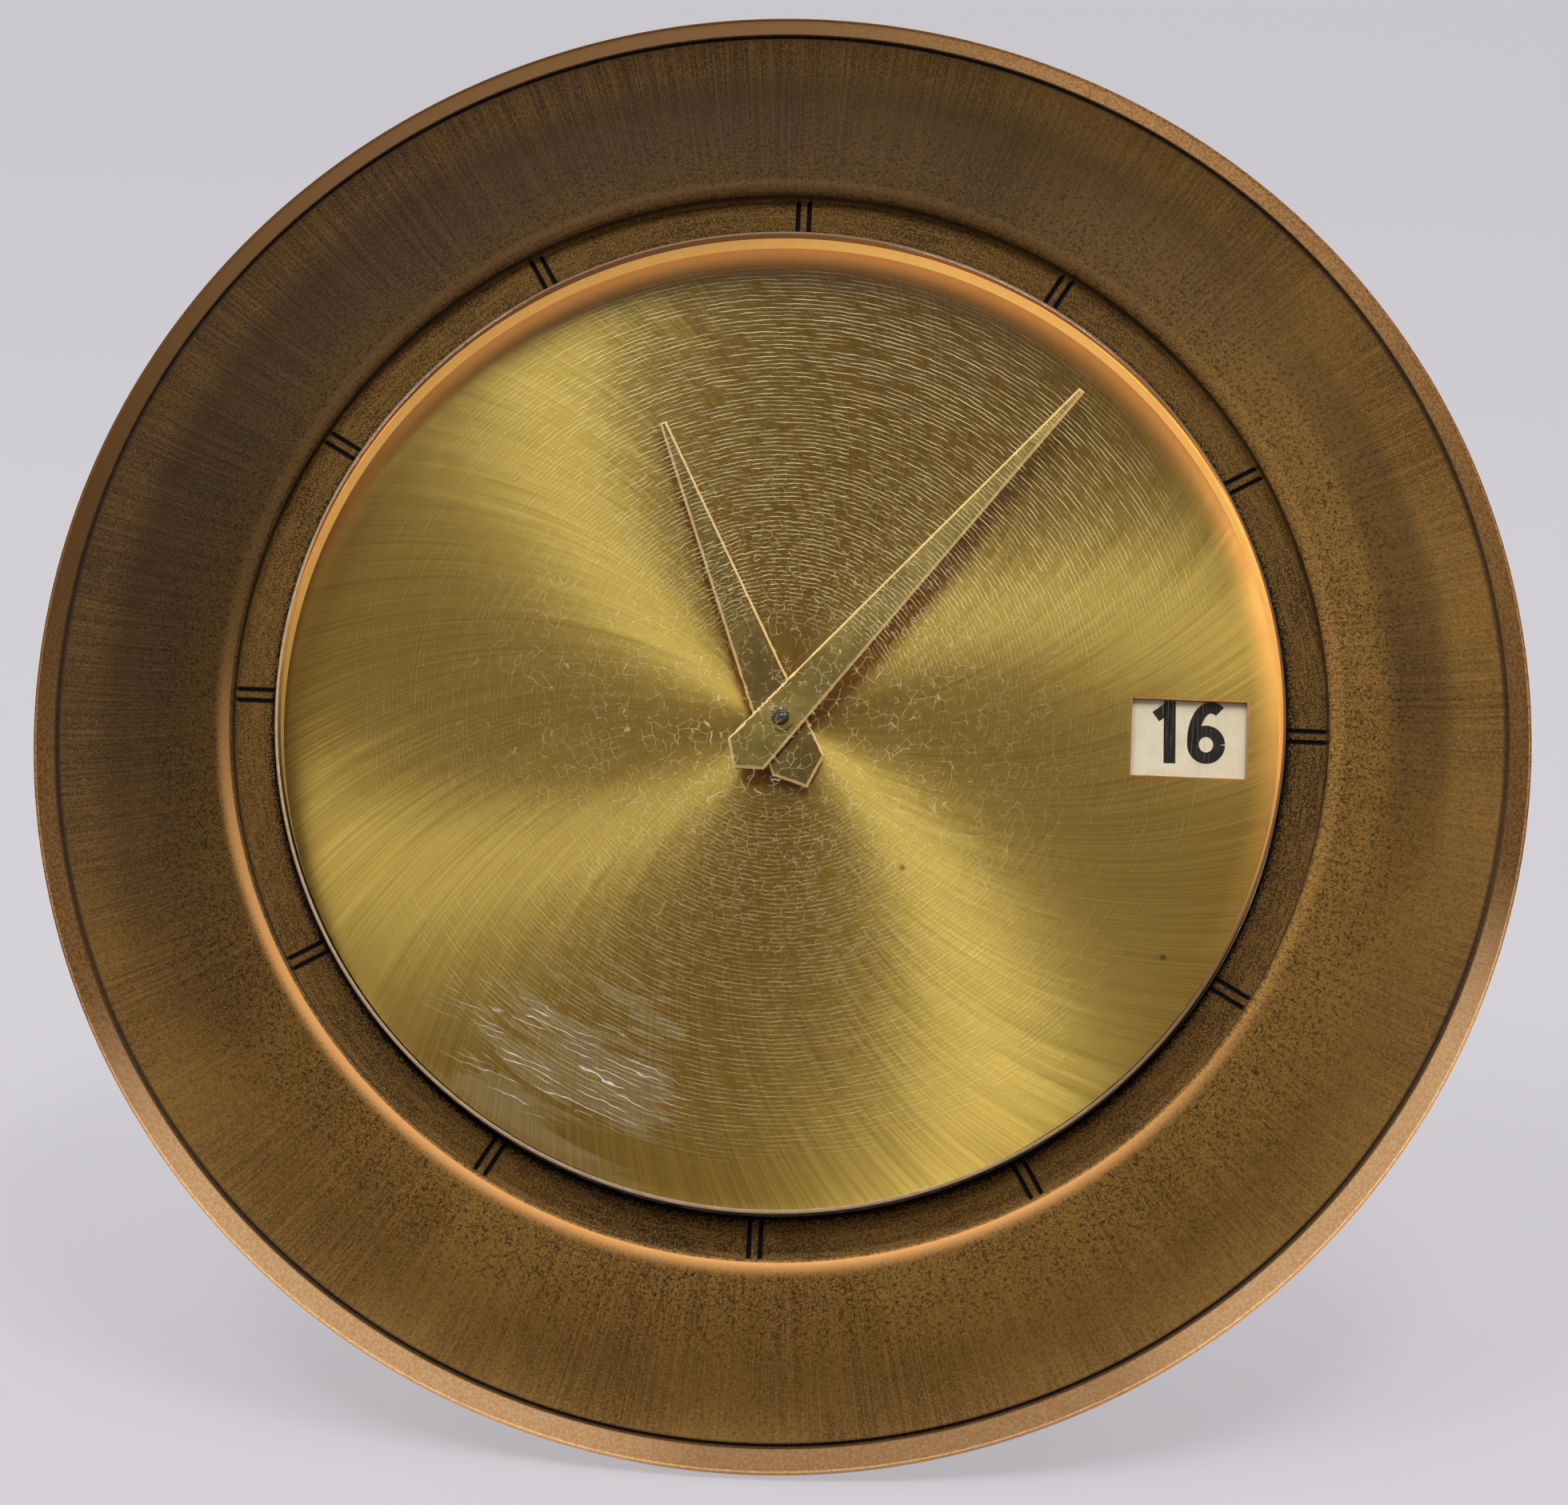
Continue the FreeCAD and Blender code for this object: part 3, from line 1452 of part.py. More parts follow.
def make_balance_cock():
    """A bridge over the opening in the back plate: it holds the balance's rear pivot and the
    hairspring's outer end."""
    body = new_body("balance_cock")
    low = back_plate_back - s.cock_thickness
    half = s.cock_half_width
    outline = [
        (ZERO, -half),
        (s.cock_length, -half),
        (s.cock_length, half),
        (ZERO, half, s.cock_nose_radius),
    ]
    raise_up(body, draw_outline(new_sketch(body, "XY_Plane", low), outline), s.cock_thickness)
    stud_spot = (s.hairspring_radius + s.hairspring_thickness * 3, ZERO)
    stud = draw_circles(
        new_sketch(body, "XY_Plane", hairspring_low), [stud_spot], s.hairspring_thickness * 2
    )
    down = body.newObject("PartDesign::Pad", "Pad")
    down.Profile = stud
    down.Reversed = True
    down.setExpression("Length", (hairspring_low - back_plate_back).formula)
    cap = draw_circles(
        new_sketch(body, "XY_Plane", hairspring_low), [stud_spot], s.hairspring_thickness * 2
    )
    raise_up(body, cap, s.hairspring_height)
    bore(body, [CENTRE], s.pivot_radius + s.running_fit, back_plate_back, s.cock_thickness)
    eye = s.small_screw_radius + s.screw_fit
    screw = (s.cock_length - s.cock_half_width, ZERO)
    bore(body, [screw], eye, back_plate_back, s.cock_thickness)
    return seat(body, balance_spot, s.cock_bearing)


# ---------------------------------------------------------------------------
# Winding work and the knobs at the back
# ---------------------------------------------------------------------------
ratchet_high = back_plate_back - s.winding_gap
ratchet_low = ratchet_high - s.ratchet_thickness
ratchet_root = s.ratchet_radius - s.ratchet_tooth_depth


def make_ratchet_wheel():
    body = new_body("ratchet_wheel")
    turn(
        body,
        ring_section(s.barrel_arbor_radius, s.ratchet_radius, ratchet_low, ratchet_high),
    )
    pitch = FULL_TURN / s.ratchet_teeth
    reach = s.ratchet_radius * s.cutter_overrun
    notch = [
        (ratchet_root, ZERO),
        (reach, ZERO),
        polar(reach, pitch * 1.5),
        polar(s.ratchet_radius, pitch * 0.9),
    ]
    sketch = draw_outline(new_sketch(body, "XY_Plane", ratchet_high), notch)
    ring_of(body, sink(body, sketch, s.ratchet_thickness), s.ratchet_teeth)
    return seat(body, barrel_spot)


click_line = ratchet_root + s.click_height + s.click_blade_width


def click_screw_spot():
    """Where the click's foot stands on the back plate."""
    along = step_from(barrel_spot, click_line, s.click_bearing)
    return step_from(along, s.click_length, s.click_bearing + QUARTER_TURN)


def make_click():
    """A one-piece click: a springy blade whose beak rests in a notch of the ratchet wheel."""
    body = new_body("click_spring")
    across = click_line
    beak = ratchet_root + s.running_fit * 2
    half = s.click_blade_width / 2
    outline = [
        (across - half, s.click_length),
        (across - half, s.click_height * 2),
        (beak, s.running_fit * 2),
        (across, s.running_fit * 2),
        (across + half, s.click_height * 2),
        (across + half, s.click_length),
    ]
    sketch = draw_outline(new_sketch(body, "XY_Plane", ratchet_low), outline)
    raise_up(body, sketch, s.ratchet_thickness)
    foot = [(across, s.click_length)]
    pad = draw_circles(new_sketch(body, "XY_Plane", ratchet_low), foot, s.click_foot_radius)
    raise_up(body, pad, back_plate_back - ratchet_low)
    eye = s.small_screw_radius + s.screw_fit
    bore(body, foot, eye, back_plate_back, back_plate_back - ratchet_low)
    return seat(body, barrel_spot, s.click_bearing)


def make_key():
    """A winding key: a round boss on the arbor and a flat wing for finger and thumb."""
    body = new_body("winding_key")
    boss_end = knob_front - s.key_boss_length
    turn(body, rod_section(boss_end, [(s.key_boss_radius, knob_front)]))
    wing_end = boss_end - s.key_wing_length
    half, corner = s.key_wing_half_width, s.key_wing_corner
    root = s.key_boss_radius
    outline = [
        (-root, boss_end + s.knob_gap),
        (-half, boss_end - corner / 2),
        (-half, wing_end + corner, corner),
        (corner - half, wing_end),
        (half - corner, wing_end, corner),
        (half, wing_end + corner),
        (half, boss_end - corner / 2),
        (root, boss_end + s.knob_gap),
    ]
    sketch = draw_outline(new_sketch(body, "XZ_Plane", -s.key_wing_thickness / 2), outline)
    raise_up(body, sketch, s.key_wing_thickness)
    depth = s.key_boss_length / 2 + s.screw_fit
    bore(body, [CENTRE], s.barrel_arbor_radius + s.screw_fit, knob_front, depth)
    return seat(body, barrel_spot)


def make_knob(label, radius, length, knurls, spot, turned_by):
    body = new_body(label)
    end = knob_front - length
    edge = s.knob_chamfer
    section = [
        (ZERO, end),
        (radius - edge, end),
        (radius, end + edge),
        (radius, knob_front - edge),
        (radius - edge, knob_front),
        (ZERO, knob_front),
    ]
    turn(body, section)
    notch = [
        (radius - s.knurl_depth, ZERO),
        (radius + s.knurl_depth, -s.knurl_width / 2),
        (radius + s.knurl_depth, s.knurl_width / 2),
    ]
    sketch = draw_outline(new_sketch(body, "XY_Plane", knob_front), notch)
    ring_of(body, sink(body, sketch, length), knurls)
    depth = length / 2 + s.screw_fit
    bore(body, [CENTRE], s.setting_arbor_radius + s.screw_fit, knob_front, depth)
    return seat(body, spot, turned_by)


# ---------------------------------------------------------------------------
# Case
# ---------------------------------------------------------------------------


def make_case_back():
    """A turned cup that clamps the movement into the bezel: spigot, flange, cove and drum."""
    body = new_body("case_back")
    flange_low = boss_back - s.flange_thickness
    section = [
        (spigot_inner_radius, dial_plate_back),
        (spigot_inner_radius, boss_back),
        (throat_radius, flange_low),
        (drum_inner_radius, -s.drum_shoulder_drop),
        (drum_inner_radius, cover_front),
        (drum_radius, cover_front),
        (drum_radius, -s.drum_shoulder_drop, -s.case_cove_radius),
        (flange_foot_radius, flange_low),
        (boss_radius, flange_low),
        (boss_radius, boss_back),
        (spigot_radius, boss_back),
        (spigot_radius, dial_plate_back),
    ]
    turn(body, section)
    pad_back = cover_front
    pad_root = drum_inner_radius + s.pad_root
    pad = new_sketch(body, "XZ_Plane", pad_root)
    outline = [
        (-s.pad_half_width, pad_back),
        (s.pad_half_width, pad_back),
        (s.pad_half_width, pad_back + s.pad_length),
        (-s.pad_half_width, pad_back + s.pad_length),
    ]
    raise_up(body, draw_outline(pad, outline), pad_drop - pad_root)
    holes = around(case_screw_circle, s.case_screw_count, HALF_TURN / 6)
    passing = s.case_screw_radius + s.screw_fit
    bore(body, holes, passing, boss_back, s.flange_thickness)
    threads = around(cover_screw_circle, s.cover_screw_count, HALF_TURN / 4)
    thread = s.cover_screw_radius + s.screw_fit
    bore(body, threads, thread, cover_front, s.screw_length + s.slot_width, forwards=True)
    feet = new_sketch(body, "XZ_Plane", pad_drop)
    draw_circles(feet, foot_screw_spots(), s.foot_screw_radius + s.screw_fit)
    sink(body, feet, s.screw_length)
    return seat(body)


def foot_screw_spots():
    """On the case's underside, as (across, height along the dial's axis)."""
    return [(s.foot_screw_spread * side, -s.foot_screw_place) for side in (-1, 1)]


def make_back_cover():
    body = new_body("back_cover")
    edge = s.cover_chamfer
    section = [
        (ZERO, cover_back),
        (cover_radius - edge, cover_back),
        (cover_radius, cover_back + edge),
        (cover_radius, cover_front),
        (ZERO, cover_front),
    ]
    turn(body, section)
    depth = s.cover_thickness
    bore(body, [barrel_spot], s.key_hole_radius, cover_front, depth)
    bore(body, [setting_spot, star_spot], s.arbor_hole_radius, cover_front, depth)
    holes = around(cover_screw_circle, s.cover_screw_count, HALF_TURN / 4)
    bore(body, holes, s.cover_screw_radius + s.screw_fit, cover_front, depth)
    return seat(body)


def table_level(drop, lift=ZERO):
    """The height along the dial's axis at which a point so far below the axis, in the dial's
    plane, is a lift above the table."""
    return (drop * sin_tilt - stand_lift + lift) / cos_tilt


heel_drop = pad_drop + s.foot_heel_depth
toe_drop = pad_drop + s.foot_thickness
heel_level = table_level(heel_drop, s.foot_felt_thickness)
toe_level = table_level(toe_drop, s.foot_felt_thickness)


def make_rear_foot():
    """A wedge screwed under the case: its sole lies flat on the table."""
    body = new_body("rear_foot")
    front = -s.foot_front_drop
    # on the YZ plane the sketch's axes are the clock's Y and Z
    outline = [
        (-pad_drop, toe_level),
        (-toe_drop, toe_level),
        (-heel_drop, heel_level),
        (-toe_drop, front),
        (-pad_drop, front),
    ]
    sketch = draw_outline(new_sketch(body, "YZ_Plane", -s.foot_half_width), outline)
    raise_up(body, sketch, s.foot_half_width * 2)
    sole = new_sketch(body, "XZ_Plane", heel_drop)
    draw_circles(sole, foot_screw_spots(), s.foot_screw_head + s.head_recess_fit)
    sink(body, sole, s.foot_heel_depth - s.foot_thickness / 2)
    eyes = new_sketch(body, "XZ_Plane", heel_drop)
    draw_circles(eyes, foot_screw_spots(), s.foot_screw_radius + s.screw_fit)
    sink(body, eyes, s.foot_heel_depth)
    return seat(body)


def make_foot_felt():
    """A felt strip under the foot's sole."""
    body = new_body("foot_felt")
    margin = s.foot_felt_margin
    first, last = heel_drop - margin, toe_drop + margin
    thick = s.foot_felt_thickness
    outline = [
        (-first, table_level(first, thick)),
        (-last, table_level(last, thick)),
        (-last - thick * sin_tilt, table_level(last, thick) - thick * cos_tilt),
        (-first - thick * sin_tilt, table_level(first, thick) - thick * cos_tilt),
    ]
    side = s.foot_half_width - margin
    raise_up(body, draw_outline(new_sketch(body, "YZ_Plane", -side), outline), side * 2)
    return seat(body)


def make_foot_screws():
    body = new_body("foot_screws")
    head_top = pad_drop + s.foot_thickness / 2
    shank_end = pad_drop - s.screw_length + s.slot_width
    spots = foot_screw_spots()
    shank = new_sketch(body, "XZ_Plane", shank_end)
    raise_up(body, draw_circles(shank, spots, s.foot_screw_radius), head_top - shank_end)
    head = new_sketch(body, "XZ_Plane", head_top)
    raise_up(body, draw_circles(head, spots, s.foot_screw_head), s.screw_head_height)
    slots = new_sketch(body, "XZ_Plane", head_top + s.screw_head_height)
    for spot in spots:
        draw_outline(slots, bar_outline(s.foot_screw_head * s.cutter_overrun, s.slot_width / 2, spot))
    sink(body, slots, s.slot_depth)
    return seat(body)


# ---------------------------------------------------------------------------
# Assembly: each wheel is turned so that it stands in mesh with the one before it
# ---------------------------------------------------------------------------
make_bezel()
make_crystal()
make_crystal_gasket()
make_dial_ring()
make_dial()
make_hand(
    "hour_hand",
    s.hour_hand_length,
    s.hour_hand_half_width,
    s.hour_hand_shoulder,
    s.hour_hand_tail,
    s.hour_pipe_radius,
    hour_hand_level,
    s.hour_hand_bearing,
)
make_hand(
    "minute_hand",
    minute_hand_length,
    s.minute_hand_half_width,
    s.minute_hand_shoulder,
    s.minute_hand_tail,
    s.cannon_pipe_radius,
    minute_hand_level,
    s.minute_hand_bearing,
)

cannon_turn = 0.0
minute_turn = meshed_turn(cannon, cannon_turn, s.minute_wheel_bearing, minute_gear)
setting_turn = meshed_turn(minute_gear, minute_turn, setting_approach, cannon)
make_cannon_pinion(cannon_turn)
make_minute_wheel(minute_turn)
make_setting_arbor(setting_turn)
hour_turn = meshed_turn(minute_pinion, minute_turn, s.minute_wheel_bearing + HALF_TURN, hour_gear)
date_turn = meshed_turn(hour_gear, hour_turn, s.date_wheel_bearing, date_gear)
make_hour_wheel(hour_turn)
make_date_wheel(date_turn)

# the calendar ring shows its date square in the window: a tooth gap lies on the window's line
ring_turn = 0.0
ring_pitch = FULL_TURN / float(s.day_count)
star_pitch_angle = FULL_TURN / float(s.star_leaves)
ring_share = ((float(s.star_bearing) - ring_turn - ring_pitch / 2) / ring_pitch) % 1
star_turn = float(s.star_bearing) - star_pitch_angle * (ring_share - 0.5) - star_pitch_angle / 2
make_date_ring(ring_turn)
make_date_star(star_turn)
make_date_jumper(ring_turn)
screws(
    "date_jumper_screw",
    [jumper_screw_spot(ring_turn)],
    s.small_screw_radius,
    s.small_screw_head,
    jumper_foot_top,
    dial_plate_back + s.slot_width,
    backwards=False,
    height=s.jumper_screw_head_height,
)
make_dial_plate(ring_turn)

make_front_plate()
make_back_plate()
make_pillars()
screws(
    "dial_plate_screws",
    plate_screw_spots,
    s.plate_screw_radius,
    s.plate_screw_head,
    front_plate_back,
    dial_plate_front - s.slot_width,
)
screws(
    "back_plate_screws",
    pillar_spots,
    s.plate_screw_radius,
    s.plate_screw_head,
    back_plate_back,
    back_plate_front + s.screw_length - s.slot_width,
)

barrel_turn = 0.0
intermediate_turn = meshed_turn(barrel_gear, barrel_turn, barrel_approach, intermediate_pinion)
centre_turn = meshed_turn(
    intermediate_gear, intermediate_turn, intermediate_bearing + HALF_TURN, centre_pinion
)
third_turn = meshed_turn(centre_gear, centre_turn, s.third_bearing, third_pinion)
fourth_turn = meshed_turn(third_gear, third_turn, s.fourth_bearing, fourth_pinion)
escape_turn = meshed_turn(fourth_gear, fourth_turn, s.escape_bearing, escape_pinion)
make_barrel_drum(barrel_turn)
make_barrel_cover()
make_barrel_arbor()
make_mainspring()
barrel_teeth_middle = s.barrel_front_gap + s.barrel_tooth_height / 2
make_train_wheel(
    "intermediate_wheel",
    intermediate_spot,
    intermediate_turn,
    intermediate_gear,
    s.first_wheel_level,
    intermediate_pinion,
    barrel_teeth_middle,
    s.arbor_radius,
)
make_centre_wheel(centre_turn)
make_train_wheel(
    "third_wheel",
    third_spot,
    third_turn,
    third_gear,
    s.third_wheel_level,
    third_pinion,
    s.centre_wheel_level,
    s.small_arbor_radius,
)
make_train_wheel(
    "fourth_wheel",
    fourth_spot,
    fourth_turn,
    fourth_gear,
    s.fourth_wheel_level,
    fourth_pinion,
    s.third_wheel_level,
    s.small_arbor_radius,
)
make_escape_wheel(escape_turn)
make_pallet_fork()
make_balance()
make_hairspring()
make_balance_cock()
screws(
    "cock_screw",
    [cock_screw_spot()],
    s.small_screw_radius,
    s.small_screw_head,
    back_plate_back - s.cock_thickness,
    back_plate_front - s.slot_width,
    height=s.small_screw_head_height,
)

make_ratchet_wheel()
make_click()
screws(
    "click_screw",
    [click_screw_spot()],
    s.small_screw_radius,
    s.small_screw_head,
    ratchet_low,
    back_plate_front - s.slot_width,
    height=s.small_screw_head_height,
)
make_key()
make_knob(
    "hand_setting_knob",
    s.setting_knob_radius,
    s.setting_knob_length,
    s.setting_knurls,
    setting_spot,
    setting_turn,
)
make_knob(
    "date_setting_knob",
    s.date_knob_radius,
    s.date_knob_length,
    s.date_knurls,
    star_spot,
    star_turn,
)

make_case_back()
make_back_cover()
screws(
    "case_screws",
    around(case_screw_circle, s.case_screw_count, HALF_TURN / 6),
    s.case_screw_radius,
    s.case_screw_head,
    boss_back - s.flange_thickness,
    boss_back - s.flange_thickness + s.screw_length,
)
screws(
    "cover_screws",
    around(cover_screw_circle, s.cover_screw_count, HALF_TURN / 4),
    s.cover_screw_radius,
    s.cover_screw_head,
    cover_back,
    cover_front + s.screw_length,
)
make_rear_foot()
make_foot_screws()
make_foot_felt()

# ---------------------------------------------------------------------------
# Checks and export
# ---------------------------------------------------------------------------
doc.recompute()
for item in doc.Objects:
    if "Invalid" in item.State or "Error" in item.State:
        raise ValueError(f"{item.Label} is {item.State}")
for node in NODES:
    if node.Shape.isNull() or not node.Shape.isValid():
        raise ValueError(f"{node.Label} has no valid shape")

os.makedirs("parts", exist_ok=True)
for node in NODES:
    node.Shape.exportStep(f"parts/{node.Label}.step")
print(len(NODES), "nodes written")
AXES = {
    "centre": CENTRE,
    "minute wheel": minute_spot,
    "setting arbor": setting_spot,
    "date wheel": date_wheel_spot,
    "date star": star_spot,
    "barrel": barrel_spot,
    "intermediate": intermediate_spot,
    "third": third_spot,
    "fourth": fourth_spot,
    "escape": escape_spot,
    "fork": fork_spot,
    "balance": balance_spot,
}
for name, spot in AXES.items():
    where = STANCE.multVec(FreeCAD.Vector(float(spot[0]), float(spot[1]), 0))
    print(f"{name} axis passes through {where.x:.5f}, {where.y:.5f}, {where.z:.5f}")
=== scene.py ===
# %% [markdown]
# # A desk clock with a calendar, dressed in Blender
# The movement, the case and the joints come ready made from the CAD model. This lesson gives them
# their looks: a patinated bronze bezel, crazed acrylic, a brushed gilt dial and polished hands.
# Everything is in metres, in the same place as the CAD model, so nothing has to be fitted.

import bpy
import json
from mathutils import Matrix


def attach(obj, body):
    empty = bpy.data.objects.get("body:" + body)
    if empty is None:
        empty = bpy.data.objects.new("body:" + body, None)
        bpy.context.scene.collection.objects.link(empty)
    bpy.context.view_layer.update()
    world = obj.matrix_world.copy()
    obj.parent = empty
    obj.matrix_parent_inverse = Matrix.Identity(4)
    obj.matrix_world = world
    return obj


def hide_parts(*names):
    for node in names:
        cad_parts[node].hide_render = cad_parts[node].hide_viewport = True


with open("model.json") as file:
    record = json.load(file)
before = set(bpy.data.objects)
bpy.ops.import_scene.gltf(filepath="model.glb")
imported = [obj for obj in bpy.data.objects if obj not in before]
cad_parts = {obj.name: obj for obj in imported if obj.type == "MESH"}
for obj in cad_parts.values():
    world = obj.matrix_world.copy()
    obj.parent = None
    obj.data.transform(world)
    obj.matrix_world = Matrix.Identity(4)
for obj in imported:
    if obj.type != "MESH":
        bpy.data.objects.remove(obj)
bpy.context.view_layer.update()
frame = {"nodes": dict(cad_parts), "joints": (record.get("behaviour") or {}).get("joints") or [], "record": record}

import json
from math import radians

import bmesh
import bpy
import mathutils
import numpy as np

# %% [markdown]
# The clock was turned on a lathe, so its own lathe frame is the natural one to draw in: heights
# run along the dial's axis from the crest of the bezel's lip, in millimetres. The clock leans
# back, so one small function takes lathe millimetres to the frame of the CAD model. The axis and
# its place are read from the joint of the minute hand, which turns about it.

# %% The lathe frame
MM = 0.001
FULL_TURN = 2 * np.pi
hand_joint = next(joint for joint in frame["joints"] if joint["name"] == "minute_hand_turn")
LATHE_CENTRE = np.array(hand_joint["pos_m"])
OUTWARD = np.array(hand_joint["axis"])
THREE_O_CLOCK = np.array([1.0, 0.0, 0.0])
TWELVE_O_CLOCK = np.cross(OUTWARD, THREE_O_CLOCK)
LEAN = np.arctan2(TWELVE_O_CLOCK[2], TWELVE_O_CLOCK[1])


def from_lathe(points):
    """Lathe millimetres (towards 3, towards 12, outward) to metres in the CAD frame: the centre
    plus each number times its own direction."""
    directions = np.array([THREE_O_CLOCK, TWELVE_O_CLOCK, OUTWARD])
    return LATHE_CENTRE + MM * np.asarray(points, float) @ directions


print("the dial leans", round(float(np.degrees(LEAN)), 2), "degrees from the table")

# %% [markdown]
# A turned piece is a closed outline carried once round the axis. The points make a grid, and the
# faces are only a rule about neighbours on it, so numpy makes both at once without a loop. A
# signed volume tells whether the faces look outward, and turns them all if they don't.


# %% Grids and meshes
def grid_faces(rows, columns):
    """Quads of a grid that closes on itself both ways: point (i, j) is number i * columns + j,
    and a face joins it to the next ones in both directions."""
    i, j = np.meshgrid(np.arange(rows), np.arange(columns), indexing="ij")
    k, m = (i + 1) % rows, (j + 1) % columns
    corners = [i * columns + j, i * columns + m, k * columns + m, k * columns + j]
    return np.stack(corners, -1).reshape(-1, 4)


def signed_volume(points, quads):
    """A sixth of the sum over all triangles of a . (b x c), positive if faces look outward."""
    a, b, c, d = (points[quads[:, k]] for k in range(4))
    triple = np.einsum("ij,ij->i", a, np.cross(b, c)) + np.einsum("ij,ij->i", a, np.cross(c, d))
    return triple.sum() / 6


def weld(mesh, distance=1e-7):
    """Joins points that lie on each other, such as the rows that shrink to a pole."""
    work = bmesh.new()
    work.from_mesh(mesh)
    bmesh.ops.remove_doubles(work, verts=work.verts, dist=distance)
    bmesh.ops.dissolve_degenerate(work, edges=work.edges, dist=distance)
    work.to_mesh(mesh)
    work.free()
    return mesh


def grid_mesh(name, points):
    """A closed mesh from a (rows, columns, 3) array of lathe millimetres."""
    rows, columns, _ = points.shape
    flat = from_lathe(points.reshape(-1, 3))
    quads = grid_faces(rows, columns)
    if signed_volume(flat - LATHE_CENTRE, quads) < 0:
        quads = quads[:, ::-1]
    mesh = bpy.data.meshes.new(name)
    mesh.from_pydata(flat.tolist(), [], quads.tolist())
    return weld(mesh)


def add_piece(name, mesh, body, slot, *nodes, sharp=35):
    """Puts a finished mesh in the scene: it rides on a body and stands for the CAD nodes. Edges
    that turn by more than `sharp` degrees stay crisp."""
    piece = bpy.data.objects.new(name, mesh)
    bpy.context.scene.collection.objects.link(piece)
    mesh.shade_smooth()
    mesh.set_sharp_from_angle(angle=radians(sharp))
    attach(piece, body)
    if nodes:
        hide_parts(*nodes)
    mesh.calc_loop_triangles()
    print(f"{name}: {len(mesh.loop_triangles)} triangles on {body}")
    return piece


# %% [markdown]
# An outline is written as a turner would describe it: arcs between two points, and corners that
# are softened a little, because no corner of a worn casting is sharp.


# %% Outlines
def arc(start, end, radius, count):
    """Points on a circle through start and end, the end left out: the centre lies off the
    chord's middle by the square root of radius squared less half the chord squared."""
    start, end = np.array(start, float), np.array(end, float)
    middle, chord = (start + end) / 2, end - start
    half = np.hypot(*chord) / 2
    normal = np.array([-chord[1], chord[0]]) / (2 * half)
    hub = middle + np.sign(radius) * normal * np.sqrt(radius**2 - half**2)
    first, last = (np.arctan2(*(p - hub)[::-1]) for p in (start, end))
    sweep = (last - first + np.pi) % FULL_TURN - np.pi
    angle = first + sweep * np.arange(count) / count
    return np.stack([hub[0] + abs(radius) * np.cos(angle), hub[1] + abs(radius) * np.sin(angle)], -1)


def soften(corners, steps=4):
    """Rounds each (radius, height, softness) corner with the curve (1-t)^2 a + 2t(1-t) c + t^2 b,
    where a and b lie one softness from the corner c along its two edges, or 0.45 of an edge that
    is short."""
    corners = np.array(corners, float)
    place, reach = corners[:, :2], corners[:, 2:]
    edges = [np.roll(place, 1, 0) - place, np.roll(place, -1, 0) - place]
    lengths = [np.maximum(np.hypot(*edge.T)[:, None], 1e-9) for edge in edges]
    a, b = (
        place + edge / length * np.minimum(reach, length * 0.45)
        for edge, length in zip(edges, lengths)
    )
    t = np.linspace(0, 1, steps)[None, :, None]
    curve = (1 - t) ** 2 * a[:, None] + 2 * t * (1 - t) * place[:, None] + t**2 * b[:, None]
    return curve.reshape(-1, 2)


def turned(outline, angles):
    """The outline (radius, height) carried round: x = r cos a, y = r sin a, z = height."""
    radius, height = outline[:, :1], outline[:, 1:]
    return np.stack([radius * np.cos(angles), radius * np.sin(angles), height + 0 * angles], -1)


COLUMNS = 288
even_angles = np.arange(COLUMNS) / COLUMNS * FULL_TURN
print("helpers ready; a turned piece has", COLUMNS, "columns unless it says otherwise")

# %% [markdown]
# ## The bezel
# The bezel is one casting: a rolled lip, a wide shallow dish and a rim band, with a sunken ring
# that carries two engraved lines at each hour. Engraving could be a picture or a bump, but real
# grooves catch light from every side. So the columns of the grid are packed closely where a
# groove runs, and there the ring's floor is lowered along a V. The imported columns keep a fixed
# distance from the mark's middle, so the two lines come out parallel.

# %% The bezel's outline
BORE, LIP, RIM, BOSS, SEAT = 50.35, 54.6, 75.0, 58.2, 52.0
RING_FLOOR, BOSS_END, SEAT_FACE, UNDERSIDE = -1.4, -9.5, -2.6, -4.45
GROOVE_INSIDE, GROOVE_OUTSIDE, GROOVE_FLOOR = 72.05, 72.67, -2.05
LIP_END, DISH_END = (56.6, -0.19), (GROOVE_INSIDE, -1.75)

ring = [(r, RING_FLOOR) for r in np.linspace(BORE + 0.25, LIP - 0.35, 7)]
foot_of_lip = soften([(LIP, RING_FLOOR, 0.2), (LIP, -0.5, 0.0)], 5)
roll = arc((LIP, -0.2), LIP_END, -2.6, 10)
cove = arc(LIP_END, DISH_END, 27.8, 44)
groove = soften([
    (*DISH_END, 0.12), (GROOVE_INSIDE, GROOVE_FLOOR, 0.1),
    (GROOVE_OUTSIDE, GROOVE_FLOOR, 0.1), (GROOVE_OUTSIDE, -1.55, 0.15),
])
rim = soften([
    (RIM, -2.95, 0.35), (RIM, UNDERSIDE, 0.3), (73.4, UNDERSIDE, 0.2),
    (BOSS, -5.2, 0.1), (BOSS, BOSS_END, 0.15),
])
hidden = soften([
    (SEAT, BOSS_END, 0.1), (SEAT, SEAT_FACE, 0.05), (BORE, SEAT_FACE, 0.05), (BORE, RING_FLOOR, 0.12),
])
bezel_outline = np.vstack([ring, foot_of_lip, roll, cove, groove, rim, hidden])
print("the bezel's outline has", len(bezel_outline), "points")

# %% The hour marks' columns
MARK_OFFSET, MARK_HALF_WIDTH, MARK_DEPTH, FAR = 0.56, 0.29, 0.3, 9.0

across_groove = np.array([-1.15, -1, -0.66, -0.33, 0, 0.33, 0.66, 1, 1.15])
in_groove = MARK_OFFSET + MARK_HALF_WIDTH * across_groove
near_mark = np.concatenate([[-1.6, -1.1], -in_groove[::-1], [0.0], in_groove, [1.1, 1.6]])
between = np.radians(np.linspace(3, 27, 19))
print(len(near_mark), "packed columns at each hour and", len(between), "between two")


